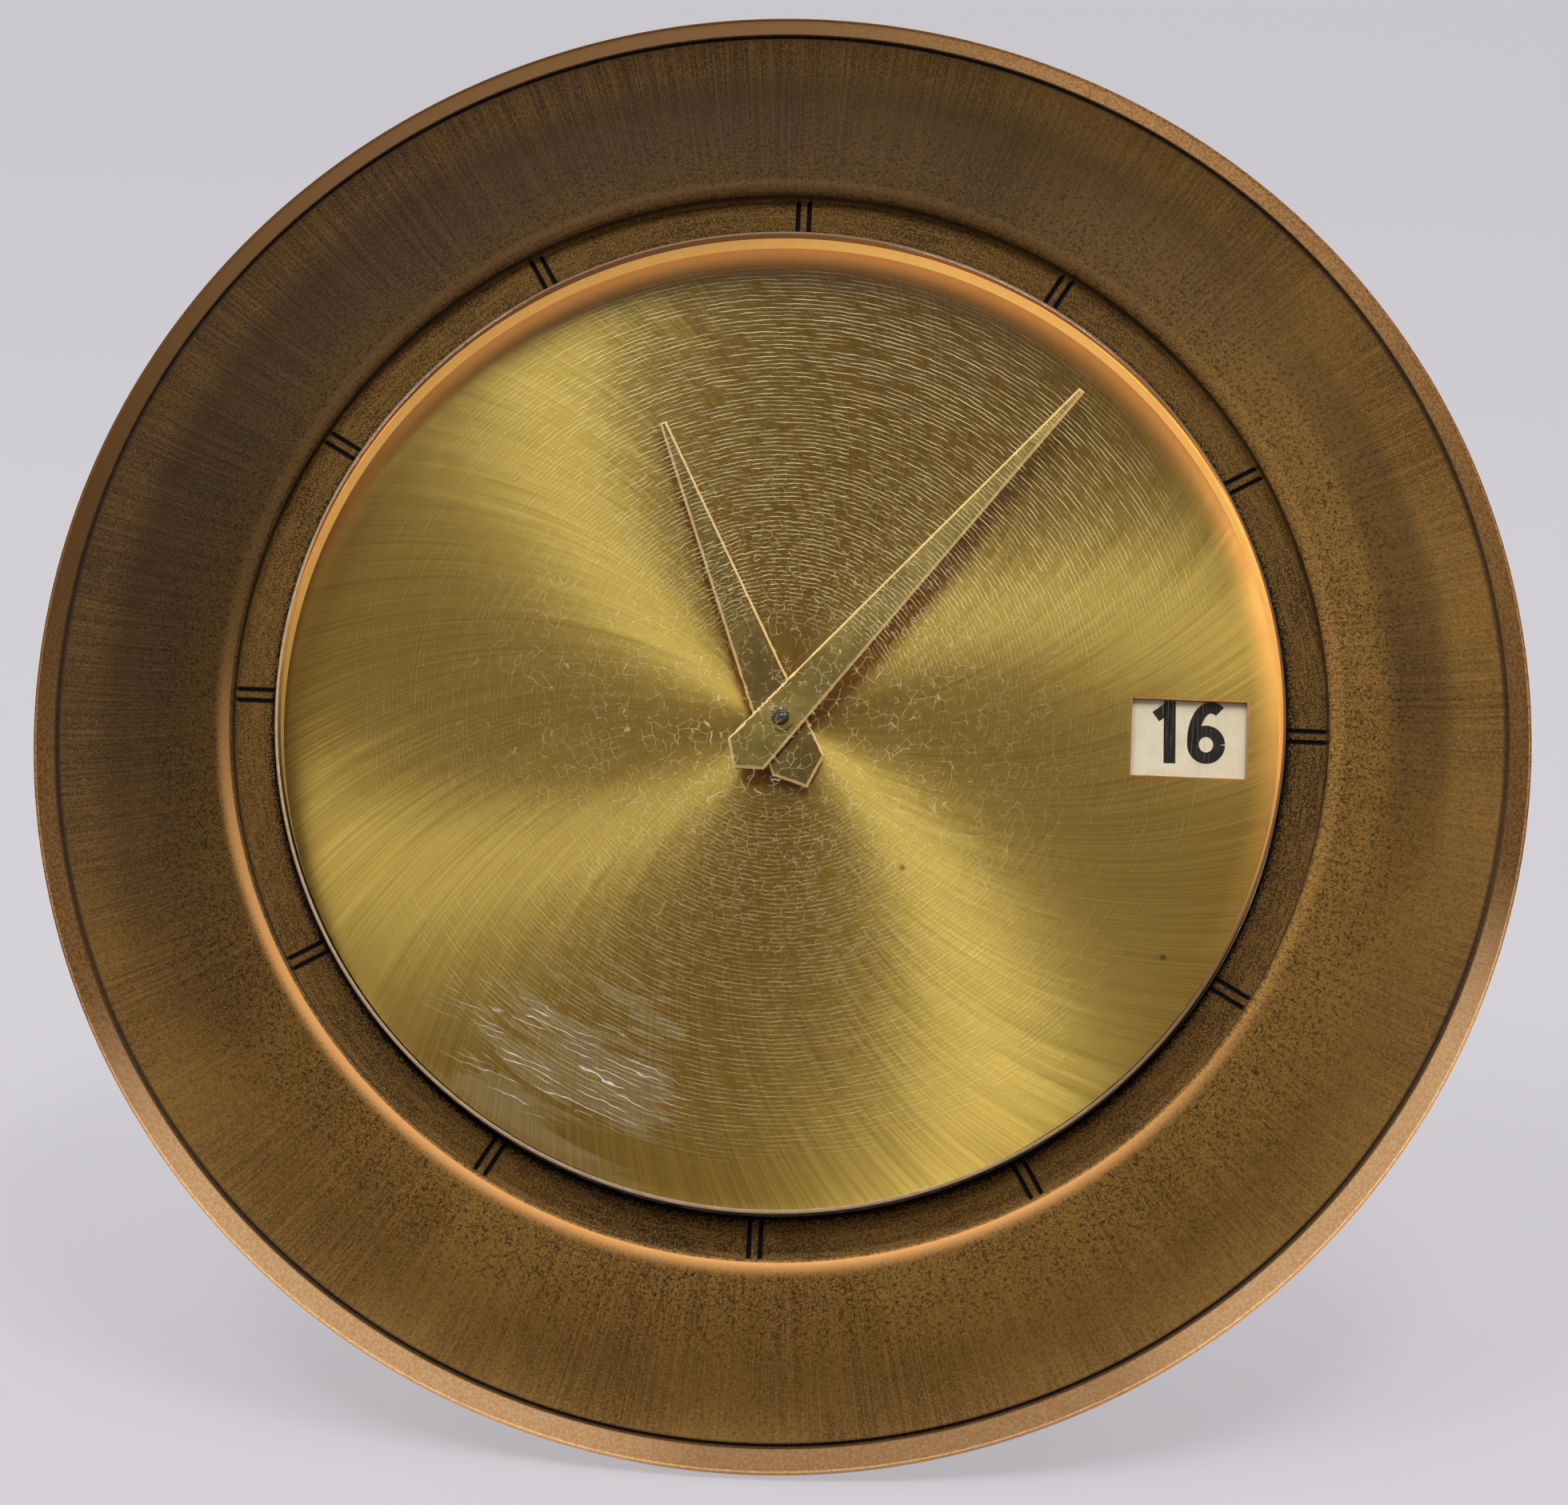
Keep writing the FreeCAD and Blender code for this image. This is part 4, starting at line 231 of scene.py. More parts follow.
# %% The bezel's surface
def bezel_grid():
    """The outline carried round with uneven columns. Beside an hour mark a column keeps its
    distance x from the mark's middle, so its angle is arcsin(x / r). A groove's depth falls in a
    straight line from its middle to its edge."""
    radius, height = bezel_outline[:, :1], bezel_outline[:, 1]
    packed = np.arcsin(near_mark[None, :] / radius)
    sector = np.concatenate([packed, np.broadcast_to(between, (len(radius), len(between)))], 1)
    hours = np.arange(12) * FULL_TURN / 12
    angles = (hours[None, :, None] + sector[:, None, :]).reshape(len(radius), -1)
    grid = turned(bezel_outline, angles)
    offset = np.concatenate([near_mark, np.full(len(between), FAR)])
    depth = MARK_DEPTH * np.clip(1 - np.abs(np.abs(offset) - MARK_OFFSET) / MARK_HALF_WIDTH, 0, 1)
    on_ring = (radius[:, 0] > BORE + 0.02) & (radius[:, 0] < LIP - 0.01)
    on_ring &= np.abs(height - RING_FLOOR) < 0.12
    grid[on_ring, :, 2] -= np.tile(depth, 12)[None, :]
    return grid


bezel_mesh = grid_mesh("bezel_casting", bezel_grid())
bezel = add_piece("bezel_casting", bezel_mesh, "case", "bezel_bronze", "bezel", sharp=40)

# %% [markdown]
# ## The crystal
# The crystal is a thick moulded acrylic cap. Light bends at both of its faces and its turned-down
# shoulder works as a lens, so it has to be a solid wall with an inside and an outside, very
# finely and smoothly divided: facets would show at once in its reflections.

# %% The crystal's wall
CAP_INSIDE, CAP_OUTSIDE, FLANGE = 49.7, 50.25, 51.8
FLANGE_TOP, FLANGE_BOTTOM = -2.9, -3.5
CROWN, CROWN_INSIDE = (0.0, 1.8), (0.0, 0.3)
SHOULDER, SHOULDER_END = (49.85, 1.1), (CAP_OUTSIDE, 0.7)

dome_outside = arc(CROWN, SHOULDER, -1900.0, 60)
shoulder = arc(SHOULDER, SHOULDER_END, -0.41, 8)
flange = soften([
    (CAP_OUTSIDE, FLANGE_TOP, 0.02), (FLANGE, FLANGE_TOP, 0.1),
    (FLANGE, FLANGE_BOTTOM, 0.1), (CAP_INSIDE, FLANGE_BOTTOM, 0.1),
], 3)
dome_inside = arc((CAP_INSIDE, -0.36), CROWN_INSIDE, 2000.0, 40)
crystal_outline = np.vstack([dome_outside, shoulder, flange, dome_inside, [CROWN_INSIDE]])
crystal_mesh = grid_mesh("crystal_cap", turned(crystal_outline, even_angles))
crystal = add_piece("crystal_cap", crystal_mesh, "case", "acrylic", "crystal", sharp=50)

# %% [markdown]
# ## Smooth copies of the machined parts
# The CAD nodes come as loose triangles, which shade as flat facets. Where a part is round and
# polished that shows, so each part that can be seen gets a copy whose points are welded, with
# smooth shading across shallow angles and crisp edges elsewhere.

# %% Weld what can be seen
SEEN = {
    "case": "case_back back_cover case_screws cover_screws rear_foot foot_screws foot_felt "
            "dial_ring crystal_gasket dial",
    "setting_knob": "hand_setting_knob",
    "date_knob": "date_setting_knob",
    "key": "winding_key barrel_arbor",
    "minute_hand": "minute_hand cannon_pinion",
    "hour_hand": "hour_hand",
    "centre_wheel": "centre_wheel",
    "date_ring": "date_ring",
}
slot_of = {part["node"]: part["material_slot"] for part in frame["record"]["subparts"]}


def welded_copy(name):
    """A node's points and triangles alone, without the normals it came with, joined where
    points lie on each other."""
    source = frame["nodes"][name].data
    source.calc_loop_triangles()
    points = np.empty(len(source.vertices) * 3)
    corners = np.empty(len(source.loop_triangles) * 3, int)
    source.vertices.foreach_get("co", points)
    source.loop_triangles.foreach_get("vertices", corners)
    mesh = bpy.data.meshes.new(name + "_skin")
    mesh.from_pydata(points.reshape(-1, 3).tolist(), [], corners.reshape(-1, 3).tolist())
    return weld(mesh, 2e-7)


skins = {}
for body, names in SEEN.items():
    for name in names.split():
        skins[name] = add_piece(name + "_skin", welded_copy(name), body, slot_of[name], name, sharp=28)

# %% [markdown]
# ## The date numerals
# The calendar ring carries the days 1 to 31 in plain figures of one even width. A figure is a few
# strokes: the middle line of each is written with straight lines and parts of ellipses, in a box
# one high, and moved half a width to either side. The ring turns under a window at three o'clock,
# and the numbers must stand upright there, so each is turned by its own place on the ring.

# %% Strokes
HALF_STROKE = 0.093


def bend(x, y, across, up, start, end):
    """Points of an ellipse about (x, y): x + across cos a, y + up sin a, in degrees."""
    angle = np.radians(np.linspace(start, end, 28))
    return np.stack([x + across * np.cos(angle), y + up * np.sin(angle)], -1)


def ribbon(line):
    """The corners and faces of a stroke: its line plus and minus half a width of its normal."""
    line = np.asarray(line, float)
    ahead = np.gradient(line, axis=0)
    side = HALF_STROKE * np.stack([-ahead[:, 1], ahead[:, 0]], -1) / np.hypot(*ahead.T)[:, None]
    i, count = np.arange(len(line) - 1), len(line)
    faces = np.stack([count + i, count + i + 1, i + 1, i], -1)
    return np.vstack([line + side, line - side]), faces


# %% The ten figures
neck_of_two = np.vstack([bend(0.31, 0.69, 0.215, 0.217, 172, -32), [(0.12, 0.13)]])
bowl_of_five = bend(0.30, 0.32, 0.225, 0.227, 125, -155)
six = [bend(0.32, 0.31, 0.205, 0.217, 0, 360), bend(0.40, 0.35, 0.285, 0.557, 184, 62)]
FIGURES = {
    "0": [bend(0.31, 0.5, 0.215, 0.407, 0, 360)],
    "1": [[(0.30, 0.0), (0.30, 1.0)], [(0.31, 0.915), (0.08, 0.745)]],
    "2": [neck_of_two, [(0.035, 0.093), (0.57, 0.093)]],
    "3": [bend(0.29, 0.715, 0.19, 0.192, 155, -85), bend(0.29, 0.31, 0.22, 0.217, 88, -155)],
    "4": [[(0.43, 0.0), (0.43, 1.0)], [(0.40, 0.96), (0.08, 0.30)], [(0.02, 0.27), (0.60, 0.27)]],
    "5": [[(0.55, 0.907), (0.12, 0.907)], [(0.17, 0.95), (0.14, 0.46)], bowl_of_five],
    "6": six,
    "7": [[(0.05, 0.907), (0.60, 0.907)], [(0.51, 0.88), (0.24, 0.0)]],
    "8": [bend(0.31, 0.72, 0.18, 0.187, 0, 360), bend(0.31, 0.30, 0.215, 0.207, 0, 360)],
    "9": [np.array([0.64, 1.0]) - stroke for stroke in six],
}
print(sum(len(strokes) for strokes in FIGURES.values()), "strokes make ten figures")

# %% Print the days
DAYS, DAY_SHOWN, DAY_CIRCLE, DAY_HEIGHT = 31, 16, 40.9, 6.4
RING_FACE, INK = -5.25, 0.02
FIGURE_WIDTH, ONE_WIDTH, FIGURE_GAP = 0.62, 0.40, 0.15
DAY_LEAD = radians(1.1)


def place_days():
    """Each number is centred, scaled to its height, moved out to its circle and turned about the
    axis by its day's share of the turn: x' = x cos a - y sin a, y' = x sin a + y cos a."""
    all_points, all_faces, start = [], [], 0
    for day in range(1, DAYS + 1):
        begin, strokes = 0.0, []
        for figure in str(day):
            strokes += [(points + (begin, 0.0), faces) for points, faces in map(ribbon, FIGURES[figure])]
            begin += (ONE_WIDTH if figure == "1" else FIGURE_WIDTH) + FIGURE_GAP
        points = np.vstack([points for points, _ in strokes])
        x, y = ((points - (points.min(0) + points.max(0)) / 2) * DAY_HEIGHT).T
        x = x + DAY_CIRCLE
        turn = (DAY_SHOWN - day) * FULL_TURN / DAYS + DAY_LEAD
        flat = np.stack([x * np.cos(turn) - y * np.sin(turn), x * np.sin(turn) + y * np.cos(turn)], -1)
        all_points.append(np.column_stack([flat, np.full(len(flat), RING_FACE + INK)]))
        for points, faces in strokes:
            all_faces += (faces + start).tolist()
            start += len(points)
    return np.vstack(all_points), all_faces


day_points, day_faces = place_days()
days_mesh = bpy.data.meshes.new("date_numerals")
days_mesh.from_pydata(from_lathe(day_points).tolist(), [], day_faces)
numerals = add_piece("date_numerals", days_mesh, "date_ring", "date_enamel")

# %% [markdown]
# ## A short way to write materials
# Every finish here is a tree of nodes. The classes below keep each tree readable: a call adds one
# node and hands back its output, and numbers or outputs can both be fed to a socket.


# %% The node writer
class Nodes:
    """Writes a node tree: each call adds a node or two and returns the last one's output."""

    def __init__(self, tree):
        self.tree = tree
        tree.nodes.clear()

    def node(self, kind, inputs=(), out=0, **settings):
        made = self.tree.nodes.new("ShaderNode" + kind)
        for key, value in settings.items():
            setattr(made, key, value)
        for name, value in dict(inputs).items():
            socket = made.inputs[name]
            if isinstance(value, bpy.types.NodeSocket):
                self.tree.links.new(value, socket)
            else:
                socket.default_value = (*value, 1.0) if socket.type == "RGBA" else value
        return made.outputs[out]

    def math(self, operation, *values):
        return self.node("Math", enumerate(values), operation=operation)

    def vector(self, operation, *values, out=0):
        return self.node("VectorMath", enumerate(values), out, operation=operation)

    def product(self, first, *others):
        for other in others:
            first = self.math("MULTIPLY", first, other)
        return first

    def largest(self, first, *others):
        for other in others:
            first = self.math("MAXIMUM", first, other)
        return first

    def raised(self, base, value, factor):
        """base + factor * value."""
        return self.math("MULTIPLY_ADD", value, factor, base)

    def centred(self, noise):
        """A noise less its middle of a half, so that it goes both ways."""
        return self.math("SUBTRACT", noise, 0.5)

    def distance(self, value, centre):
        """The value's distance from a centre, never negative."""
        return self.math("ABSOLUTE", self.math("SUBTRACT", value, centre))

    def band(self, value, low, high, start=0.0, end=1.0):
        """Goes smoothly from start to end while the value goes from low to high."""
        values = {"Value": value, "From Min": low, "From Max": high, "To Min": start, "To Max": end}
        return self.node("MapRange", values, interpolation_type="SMOOTHSTEP")

    def falls(self, value, low, high):
        """1 below low and 0 above high."""
        return self.band(value, low, high, 1.0, 0.0)

    def noise(self, vector, scale, detail=3.0, roughness=0.5):
        values = {"Vector": vector, "Scale": scale, "Detail": detail, "Roughness": roughness}
        return self.node("TexNoise", values)

    def scaled(self, vector, factor):
        return self.node("VectorMath", {0: vector, "Scale": factor}, operation="SCALE")

    def combine(self, x=0.0, y=0.0, z=0.0):
        return self.node("CombineXYZ", {0: x, 1: y, 2: z})

    def split(self, vector):
        return [self.node("SeparateXYZ", {0: vector}, axis) for axis in range(3)]

    def blend(self, share, first, second):
        return self.node("Mix", {0: share, 6: first, 7: second}, 2, data_type="RGBA")

    def mix(self, share, first, second):
        return self.node("MixShader", {0: share, 1: first, 2: second})


# %% The finish writer
class Finish(Nodes):
    """A new material, written from its patterns to its surface."""

    def __init__(self, name):
        self.material = bpy.data.materials.new(name)
        self.material.use_nodes = True
        super().__init__(self.material.node_tree)
        self.surface = self.tree.nodes.new("ShaderNodeOutputMaterial").inputs["Surface"]

    def principled(self, **inputs):
        """A Principled shader; a socket's name is written with _ for each space."""
        return self.node("BsdfPrincipled", {key.replace("_", " "): value for key, value in inputs.items()})

    def bump(self, height, strength, distance, **normal):
        values = {"Height": height, "Strength": strength, "Distance": distance, **normal}
        return self.node("Bump", values)

    def finish(self, shader):
        self.tree.links.new(shader, self.surface)
        print(self.material.name, "has", len(self.tree.nodes), "nodes")
        return self.material


# %% [markdown]
# All the turned pieces share one set of patterns. They start from Object coordinates, which one
# Mapping node turns into lathe millimetres, and from there come the radius, the height above the
# lip and the directions along a spoke and round the axis.


# %% Finishes in the lathe frame
class LatheFinish(Finish):
    """A finish in lathe millimetres, with the radius, the height and the direction round the axis."""

    def __init__(self, name):
        super().__init__(name)
        self.object = self.node("TexCoord", out="Object")
        places = {"Vector": self.object, "Location": LATHE_CENTRE}
        places.update({"Rotation": (LEAN, 0, 0), "Scale": (MM, MM, MM)})
        self.lathe = self.node("Mapping", places, vector_type="TEXTURE")
        self.x, self.y, self.z = self.split(self.lathe)
        flat = self.combine(self.x, self.y)
        self.radius = self.vector("LENGTH", flat, out=1)
        self.round = self.vector("NORMALIZE", flat)
        spoke = self.vector("SUBTRACT", self.object, tuple(LATHE_CENTRE))
        across = self.vector("CROSS_PRODUCT", tuple(OUTWARD), spoke)
        self.along = self.vector("NORMALIZE", across)
        self.spoke = self.vector("CROSS_PRODUCT", across, tuple(OUTWARD))

    def polar(self, direction, turns, stretch):
        """Pattern coordinates: so many units round the axis, and some along the radius."""
        out = self.combine(z=self.math("MULTIPLY", self.radius, stretch))
        return self.vector("ADD", self.scaled(direction, turns), out)

    def towards(self, clock_angle, narrow, wide):
        """1 at an hour angle counted clockwise from twelve, falling to 0 away from it."""
        angle = radians(clock_angle)
        direction = (np.sin(angle), np.cos(angle), 0.0)
        facing = self.vector("DOT_PRODUCT", self.round, direction, out=1)
        return self.band(facing, np.cos(radians(wide)), np.cos(radians(narrow)))

    def in_world(self, vector):
        """A direction of the piece as the shaders want it, so it turns when the piece does."""
        turn = {"vector_type": "VECTOR", "convert_from": "OBJECT", "convert_to": "WORLD"}
        return self.node("VectorTransform", {0: vector}, **turn)


def dress(material, *pieces):
    """Gives a piece or a CAD node one material on all its faces."""
    for piece in pieces:
        piece.data.materials.clear()
        piece.data.materials.append(material)


# %% [markdown]
# ## The gilt dial
# The dial was brushed from its middle outward on a turning wheel, so its scratches leave the
# centre like spokes and then curve round. Brushed metal shines where the light meets a scratch
# square on, and with curved scratches that makes the slow swirling arms. Painted arms would stay
# put as the clock turns, so here the scratches' direction drives an anisotropic shader instead.
# The thick edge of the crystal throws warm light on the dial's upper border: there the dial is
# painted orange, a painted reflection, and given a faint painted glow.

# %% The dial's scratches
SPIRAL, TIGHTENING = 0.01096, 0.0000138
DISH = 1.9
WINDOW_HALF_WIDTH, WINDOW_HALF_HEIGHT = 5.75, 3.95


def dial_scratches(f):
    """A scratch at radius r stands psi = SPIRAL r + TIGHTENING r^2 radians off its spoke, so its
    line has turned by the integral of psi / r, SPIRAL r + TIGHTENING r^2 / 2. Returns the
    direction along a scratch and the direction of the spoke where the scratch began."""
    lean = f.product(f.raised(SPIRAL, f.radius, TIGHTENING), f.radius)
    swept = f.product(f.raised(SPIRAL, f.radius, TIGHTENING / 2), f.radius)
    back = f.math("MULTIPLY", swept, -1.0)
    line = f.node("VectorRotate", {"Vector": f.round, "Angle": back}, rotation_type="Z_AXIS")
    fine = f.noise(f.polar(line, 230.0, 0.05), 1.0, 3.0, 0.7)
    broad = f.noise(f.polar(line, 40.0, 0.03), 1.0, 3.0, 0.6)
    wander = f.raised(f.product(f.centred(broad), 0.3), f.centred(fine), 0.35)
    turn = {"Vector": f.along, "Axis": tuple(OUTWARD), "Angle": f.math("ADD", lean, wander)}
    return f.node("VectorRotate", turn, rotation_type="AXIS_ANGLE"), line, fine, broad


# %% The dial's finish
def dial_finish():
    """Two metals mixed: a satin lacquer and the brushed gilt. The dial is dished ever so little:
    its normal leans inward by DISH radians for each metre of radius."""
    f = LatheFinish("gilt_dial")
    brush, line, fine, broad = dial_scratches(f)
    inward = f.in_world(f.scaled(f.spoke, -DISH))
    dished = f.vector("NORMALIZE", f.vector("ADD", f.node("NewGeometry", out="Normal"), inward))
    middle = f.noise(f.polar(line, 110.0, 0.05), 1.0, 2.0, 0.7)
    lines = f.band(f.raised(fine, f.centred(middle), 0.35), 0.30, 0.70)
    pale = f.blend(lines, (0.27, 0.207, 0.050), (0.38, 0.300, 0.082))
    deep = f.blend(lines, (0.135, 0.063, 0.008), (0.19, 0.093, 0.014))

    # Painted reflection: the border near the crystal's gilt edge, round the top, is painted orange.
    edge = f.product(f.band(f.radius, 46.9, 49.8), f.towards(15.0, 50.0, 110.0))
    across = f.math("SUBTRACT", f.distance(f.x, DAY_CIRCLE), WINDOW_HALF_WIDTH)
    upward = f.math("SUBTRACT", f.distance(f.y, 0.0), WINDOW_HALF_HEIGHT)
    cut = f.falls(f.largest(across, upward), 0.14, 0.22)
    cells = {"Vector": f.lathe, "Scale": 0.07}
    off_spot = f.node("TexVoronoi", cells, feature="F1", voronoi_dimensions="3D")
    spotted = f.band(off_spot, 0.015, 0.04, 0.9, 0.0)
    deep = f.blend(cut, f.blend(edge, deep, (0.62, 0.34, 0.10)), (0.30, 0.11, 0.03))
    pale = f.blend(cut, f.blend(edge, pale, (0.50, 0.29, 0.08)), (0.42, 0.20, 0.07))
    deep = f.blend(spotted, deep, (0.04, 0.015, 0.006))
    pale = f.blend(spotted, pale, (0.07, 0.028, 0.01))

    # Painted glow: the orange border also gives off a little light of its own.
    glow = f.product(f.math("POWER", edge, 3.0), 0.6)
    lacquer = f.principled(
        Base_Color=deep, Metallic=1.0, Roughness=0.5, Normal=dished,
        Emission_Color=(1.0, 0.50, 0.15), Emission_Strength=glow,
    )
    brushed = f.principled(
        Base_Color=pale, Metallic=1.0, Roughness=f.band(broad, 0.3, 0.7, 0.36, 0.44),
        Anisotropic=1.0, Tangent=f.in_world(brush), Normal=dished,
    )
    return f.finish(f.mix(0.62, lacquer, brushed))


dress(dial_finish(), skins["dial"])

# %% [markdown]
# ## The patinated bezel
# The bronze was turned, brushed outward from its middle and then darkened. Handling has worn the
# patina off in specks near the lip and along the rim. One noise stretched along the spokes makes
# the brush marks, fine specks break the brown, and bands of radius choose where wear shows. Bright
# flecks low on the rim and a bright line on the lip's lower side are painted highlights; the upper
# left, a band at two o'clock and the dish's lower edge are darkened with painted shade. The finish
# is built in layers, each a share and a colour that is laid over what is there.


# %% The bezel's layers
class BronzeFinish(LatheFinish):
    """The bezel's noises, and the colours of its dish, its hour ring and its rim."""

    def __init__(self, name):
        super().__init__(name)
        self.brushing = self.noise(self.polar(self.round, 260.0, 0.06), 1.0, 4.0, 0.7)
        self.clouds = self.noise(self.lathe, 0.045, 3.0, 0.55)
        self.grain = self.noise(self.lathe, 2.6, 4.0, 0.75)
        self.specks = self.noise(self.lathe, 5.5, 2.0, 0.8)

    def layers(self, colour, *layers):
        """Lays each (share, colour) over what is there."""
        for share, over in layers:
            colour = self.blend(share, colour, over)
        return colour

    def between(self, value, low, low_end, high_start, high):
        """1 between two edges and 0 outside them."""
        return self.product(self.band(value, low, low_end), self.falls(value, high_start, high))

    def dish(self):
        """Clouded brown with brush marks and specks, darker above and to the left with painted shade."""
        clouded = self.band(self.clouds, 0.38, 0.62)
        # Painted shade: the inner dish at the upper left goes plum brown.
        plum_shade = self.product(self.towards(312.0, 15.0, 75.0), self.band(self.radius, 57.0, 62.0), 0.85)
        worn = self.product(self.falls(self.radius, 56.4, 62.5), self.band(self.specks, 0.46, 0.62), 0.8)
        outward = self.band(self.radius, 60.0, 67.0, 0.8, 0.35)
        dark = self.product(self.band(self.grain, 0.50, 0.62), outward)
        return self.layers(
            self.blend(clouded, (0.135, 0.067, 0.017), (0.235, 0.122, 0.027)),
            (plum_shade, (0.070, 0.036, 0.026)),
            (self.band(self.brushing, 0.38, 0.68, 0.0, 0.65), (0.35, 0.188, 0.043)),
            (self.band(self.specks, 0.50, 0.60, 0.0, 0.6), (0.45, 0.235, 0.054)),
            (worn, (0.50, 0.27, 0.06)),
            (dark, (0.028, 0.016, 0.009)),
            (self.shade(), (0.018, 0.010, 0.005)),
        )

    def shade(self):
        """Painted shade: darkens the upper left, a band at two o'clock and the lower edge of the dish."""
        above = self.band(self.radius, 66.0, 70.0, 0.78, 0.55)
        beside = self.band(self.distance(self.radius, 64.0), 1.5, 5.0, 0.52, 0.0)
        below = self.band(self.radius, 61.0, 67.0, 0.0, 0.27)
        return self.largest(
            self.product(self.towards(328.0, 45.0, 125.0), above),
            self.product(self.towards(62.0, 20.0, 55.0), beside),
            self.product(self.towards(180.0, 60.0, 140.0), below),
        )

    def hour_ring(self):
        """Darker brown with golden specks and streaks round the axis, and a black crust beside
        the crystal."""
        streaks = self.noise(self.polar(self.round, 14.0, 4.0), 1.0, 3.0, 0.6)
        crust = self.raised(self.radius, self.specks, 2.4)
        return self.layers(
            self.blend(self.band(self.clouds, 0.35, 0.6), (0.045, 0.022, 0.008), (0.095, 0.047, 0.012)),
            (self.band(self.specks, 0.48, 0.60, 0.0, 0.75), (0.30, 0.16, 0.034)),
            (self.band(streaks, 0.46, 0.66, 0.0, 0.6), (0.21, 0.115, 0.026)),
            (self.falls(crust, 51.9, 52.3), (0.016, 0.010, 0.009)),
        )

    def rim_band(self, rim_highlight):
        """Half-worn bronze, with painted shade at the upper left and a painted highlight of bright flecks
        where the given share is high.
        """
        bright = self.band(self.noise(self.lathe, 3.0, 3.0, 0.7), 0.38, 0.6)
        flecks = self.band(self.noise(self.lathe, 3.2, 2.0, 0.8), 0.42, 0.58)
        return self.layers(
            self.blend(bright, (0.26, 0.125, 0.035), (0.48, 0.25, 0.09)),
            (self.towards(322.0, 30.0, 65.0), (0.20, 0.095, 0.027)),
            (rim_highlight, self.blend(flecks, (1.0, 0.50, 0.19), (1.0, 0.72, 0.38))),
        )


# %% The bezel's finish
def bezel_finish():
    """The dish's colour, then the hour ring, its marks, painted shade in its corner, a painted
    highlight on the lip's lower side, the rim band and the groove inside it."""
    f = BronzeFinish("patinated_bronze")
    on_ring = f.falls(f.radius, 54.45, 54.7)
    in_mark = f.product(on_ring, f.falls(f.z, -1.50, -1.42))
    low = f.band(f.z, -1.35, -1.1, 0.9, 0.2)
    # Painted shade: the foot of the lip's wall darkens, most where it meets the ring's floor.
    corner_shade = f.product(f.between(f.radius, 54.4, 54.5, 54.75, 54.85), low)
    # Painted highlight: a ragged bright orange line along the lip, strong at the lower left.
    ragged_edge = f.falls(f.raised(f.radius, f.specks, 1.8), 56.3, 57.4)
    lower_left = f.raised(0.05, f.towards(195.0, 35.0, 85.0), 0.9)
    lip_highlight = f.product(f.band(f.radius, 54.8, 55.0), ragged_edge, lower_left)
    # Painted highlight: the rim band is bright at the lower left, the lower right and, more weakly, the bottom,
    # and less metallic there.
    foot = f.product(f.towards(175.0, 30.0, 60.0), 0.45)
    rim_highlight = f.largest(f.towards(211.0, 14.0, 36.0), f.towards(128.0, 10.0, 30.0), foot)
    on_rim = f.band(f.radius, 72.6, 72.8)
    in_groove = f.product(f.between(f.radius, 71.95, 72.05, 72.6, 72.7), 0.6)
    bronze = f.layers(
        f.dish(),
        (on_ring, f.hour_ring()),
        (in_mark, (0.016, 0.013, 0.016)),
        (corner_shade, (0.026, 0.018, 0.015)),
        (lip_highlight, (0.82, 0.40, 0.13)),
        (f.product(on_rim, 0.9), f.rim_band(rim_highlight)),
        (in_groove, (0.05, 0.032, 0.024)),
    )
    relief = f.math("ADD", f.product(f.brushing, 0.5), f.product(f.grain, 0.35))
    bare = f.raised(0.3, f.product(on_rim, f.math("SUBTRACT", 1.0, rim_highlight)), 0.5)
    return f.finish(f.principled(
        Base_Color=bronze, Metallic=bare, Roughness=f.band(f.specks, 0.3, 0.7, 0.44, 0.60),
        Specular_IOR_Level=0.08, Anisotropic=0.4, Tangent=f.in_world(f.along),
        Normal=f.bump(relief, 0.35, 0.00006),
    ))


bronze = bezel_finish()
dress(bronze, bezel)

# %% [markdown]
# ## Crazed acrylic
# Old acrylic crazes: hairline cracks lie in rows round the dome, broken into short dashes, and
# each lights up like a tiny mirror. Nearer the middle they join in a fine net, which the borders
# of Voronoi cells draw well. At the lower left the cap is rubbed, and there the scratches are
# white. Glass blocks the lamps' direct light in a path tracer, so for shadow rays alone the wall
# is simply tinted air.

# %% Scratches in rows
RUBBED_PLACE, RUBBED_TURN = (-20.0, -36.0, 0.0), radians(22)


def row_lines(f, rows, thin, thick):
    """A line along the middle of every row: 1 where the rest of `rows` is near a half."""
    return f.falls(f.distance(f.math("FRACT", rows), 0.5), thin, thick)


def rubbed_scratches(f):
    """A patch of white scratches, all running one way: rows with a number that jumps from row to
    row, dashes where a noise along the row is high, kept inside an ellipse."""
    place = {"Vector": f.vector("SUBTRACT", f.lathe, RUBBED_PLACE), "Angle": RUBBED_TURN}
    ahead, aside, _ = f.split(f.node("VectorRotate", place, rotation_type="Z_AXIS"))
    wander = f.noise(f.combine(f.product(ahead, 0.14), f.product(aside, 0.5)), 1.0, 3.0, 0.6)
    rows = f.raised(f.product(aside, 1.5), wander, 3.0)
    along = f.combine(f.product(ahead, 0.18), f.product(f.math("FLOOR", rows), 5.7))
    dash = f.band(f.noise(along, 1.0, 1.0), 0.48, 0.60)
    long_way, short_way = f.product(ahead, 0.072), f.product(aside, 0.16)
    reach = f.math("ADD", f.product(long_way, long_way), f.product(short_way, short_way))
    return f.product(row_lines(f, rows, 0.02, 0.09), dash, f.band(reach, 0.3, 1.2, 0.8, 0.0))


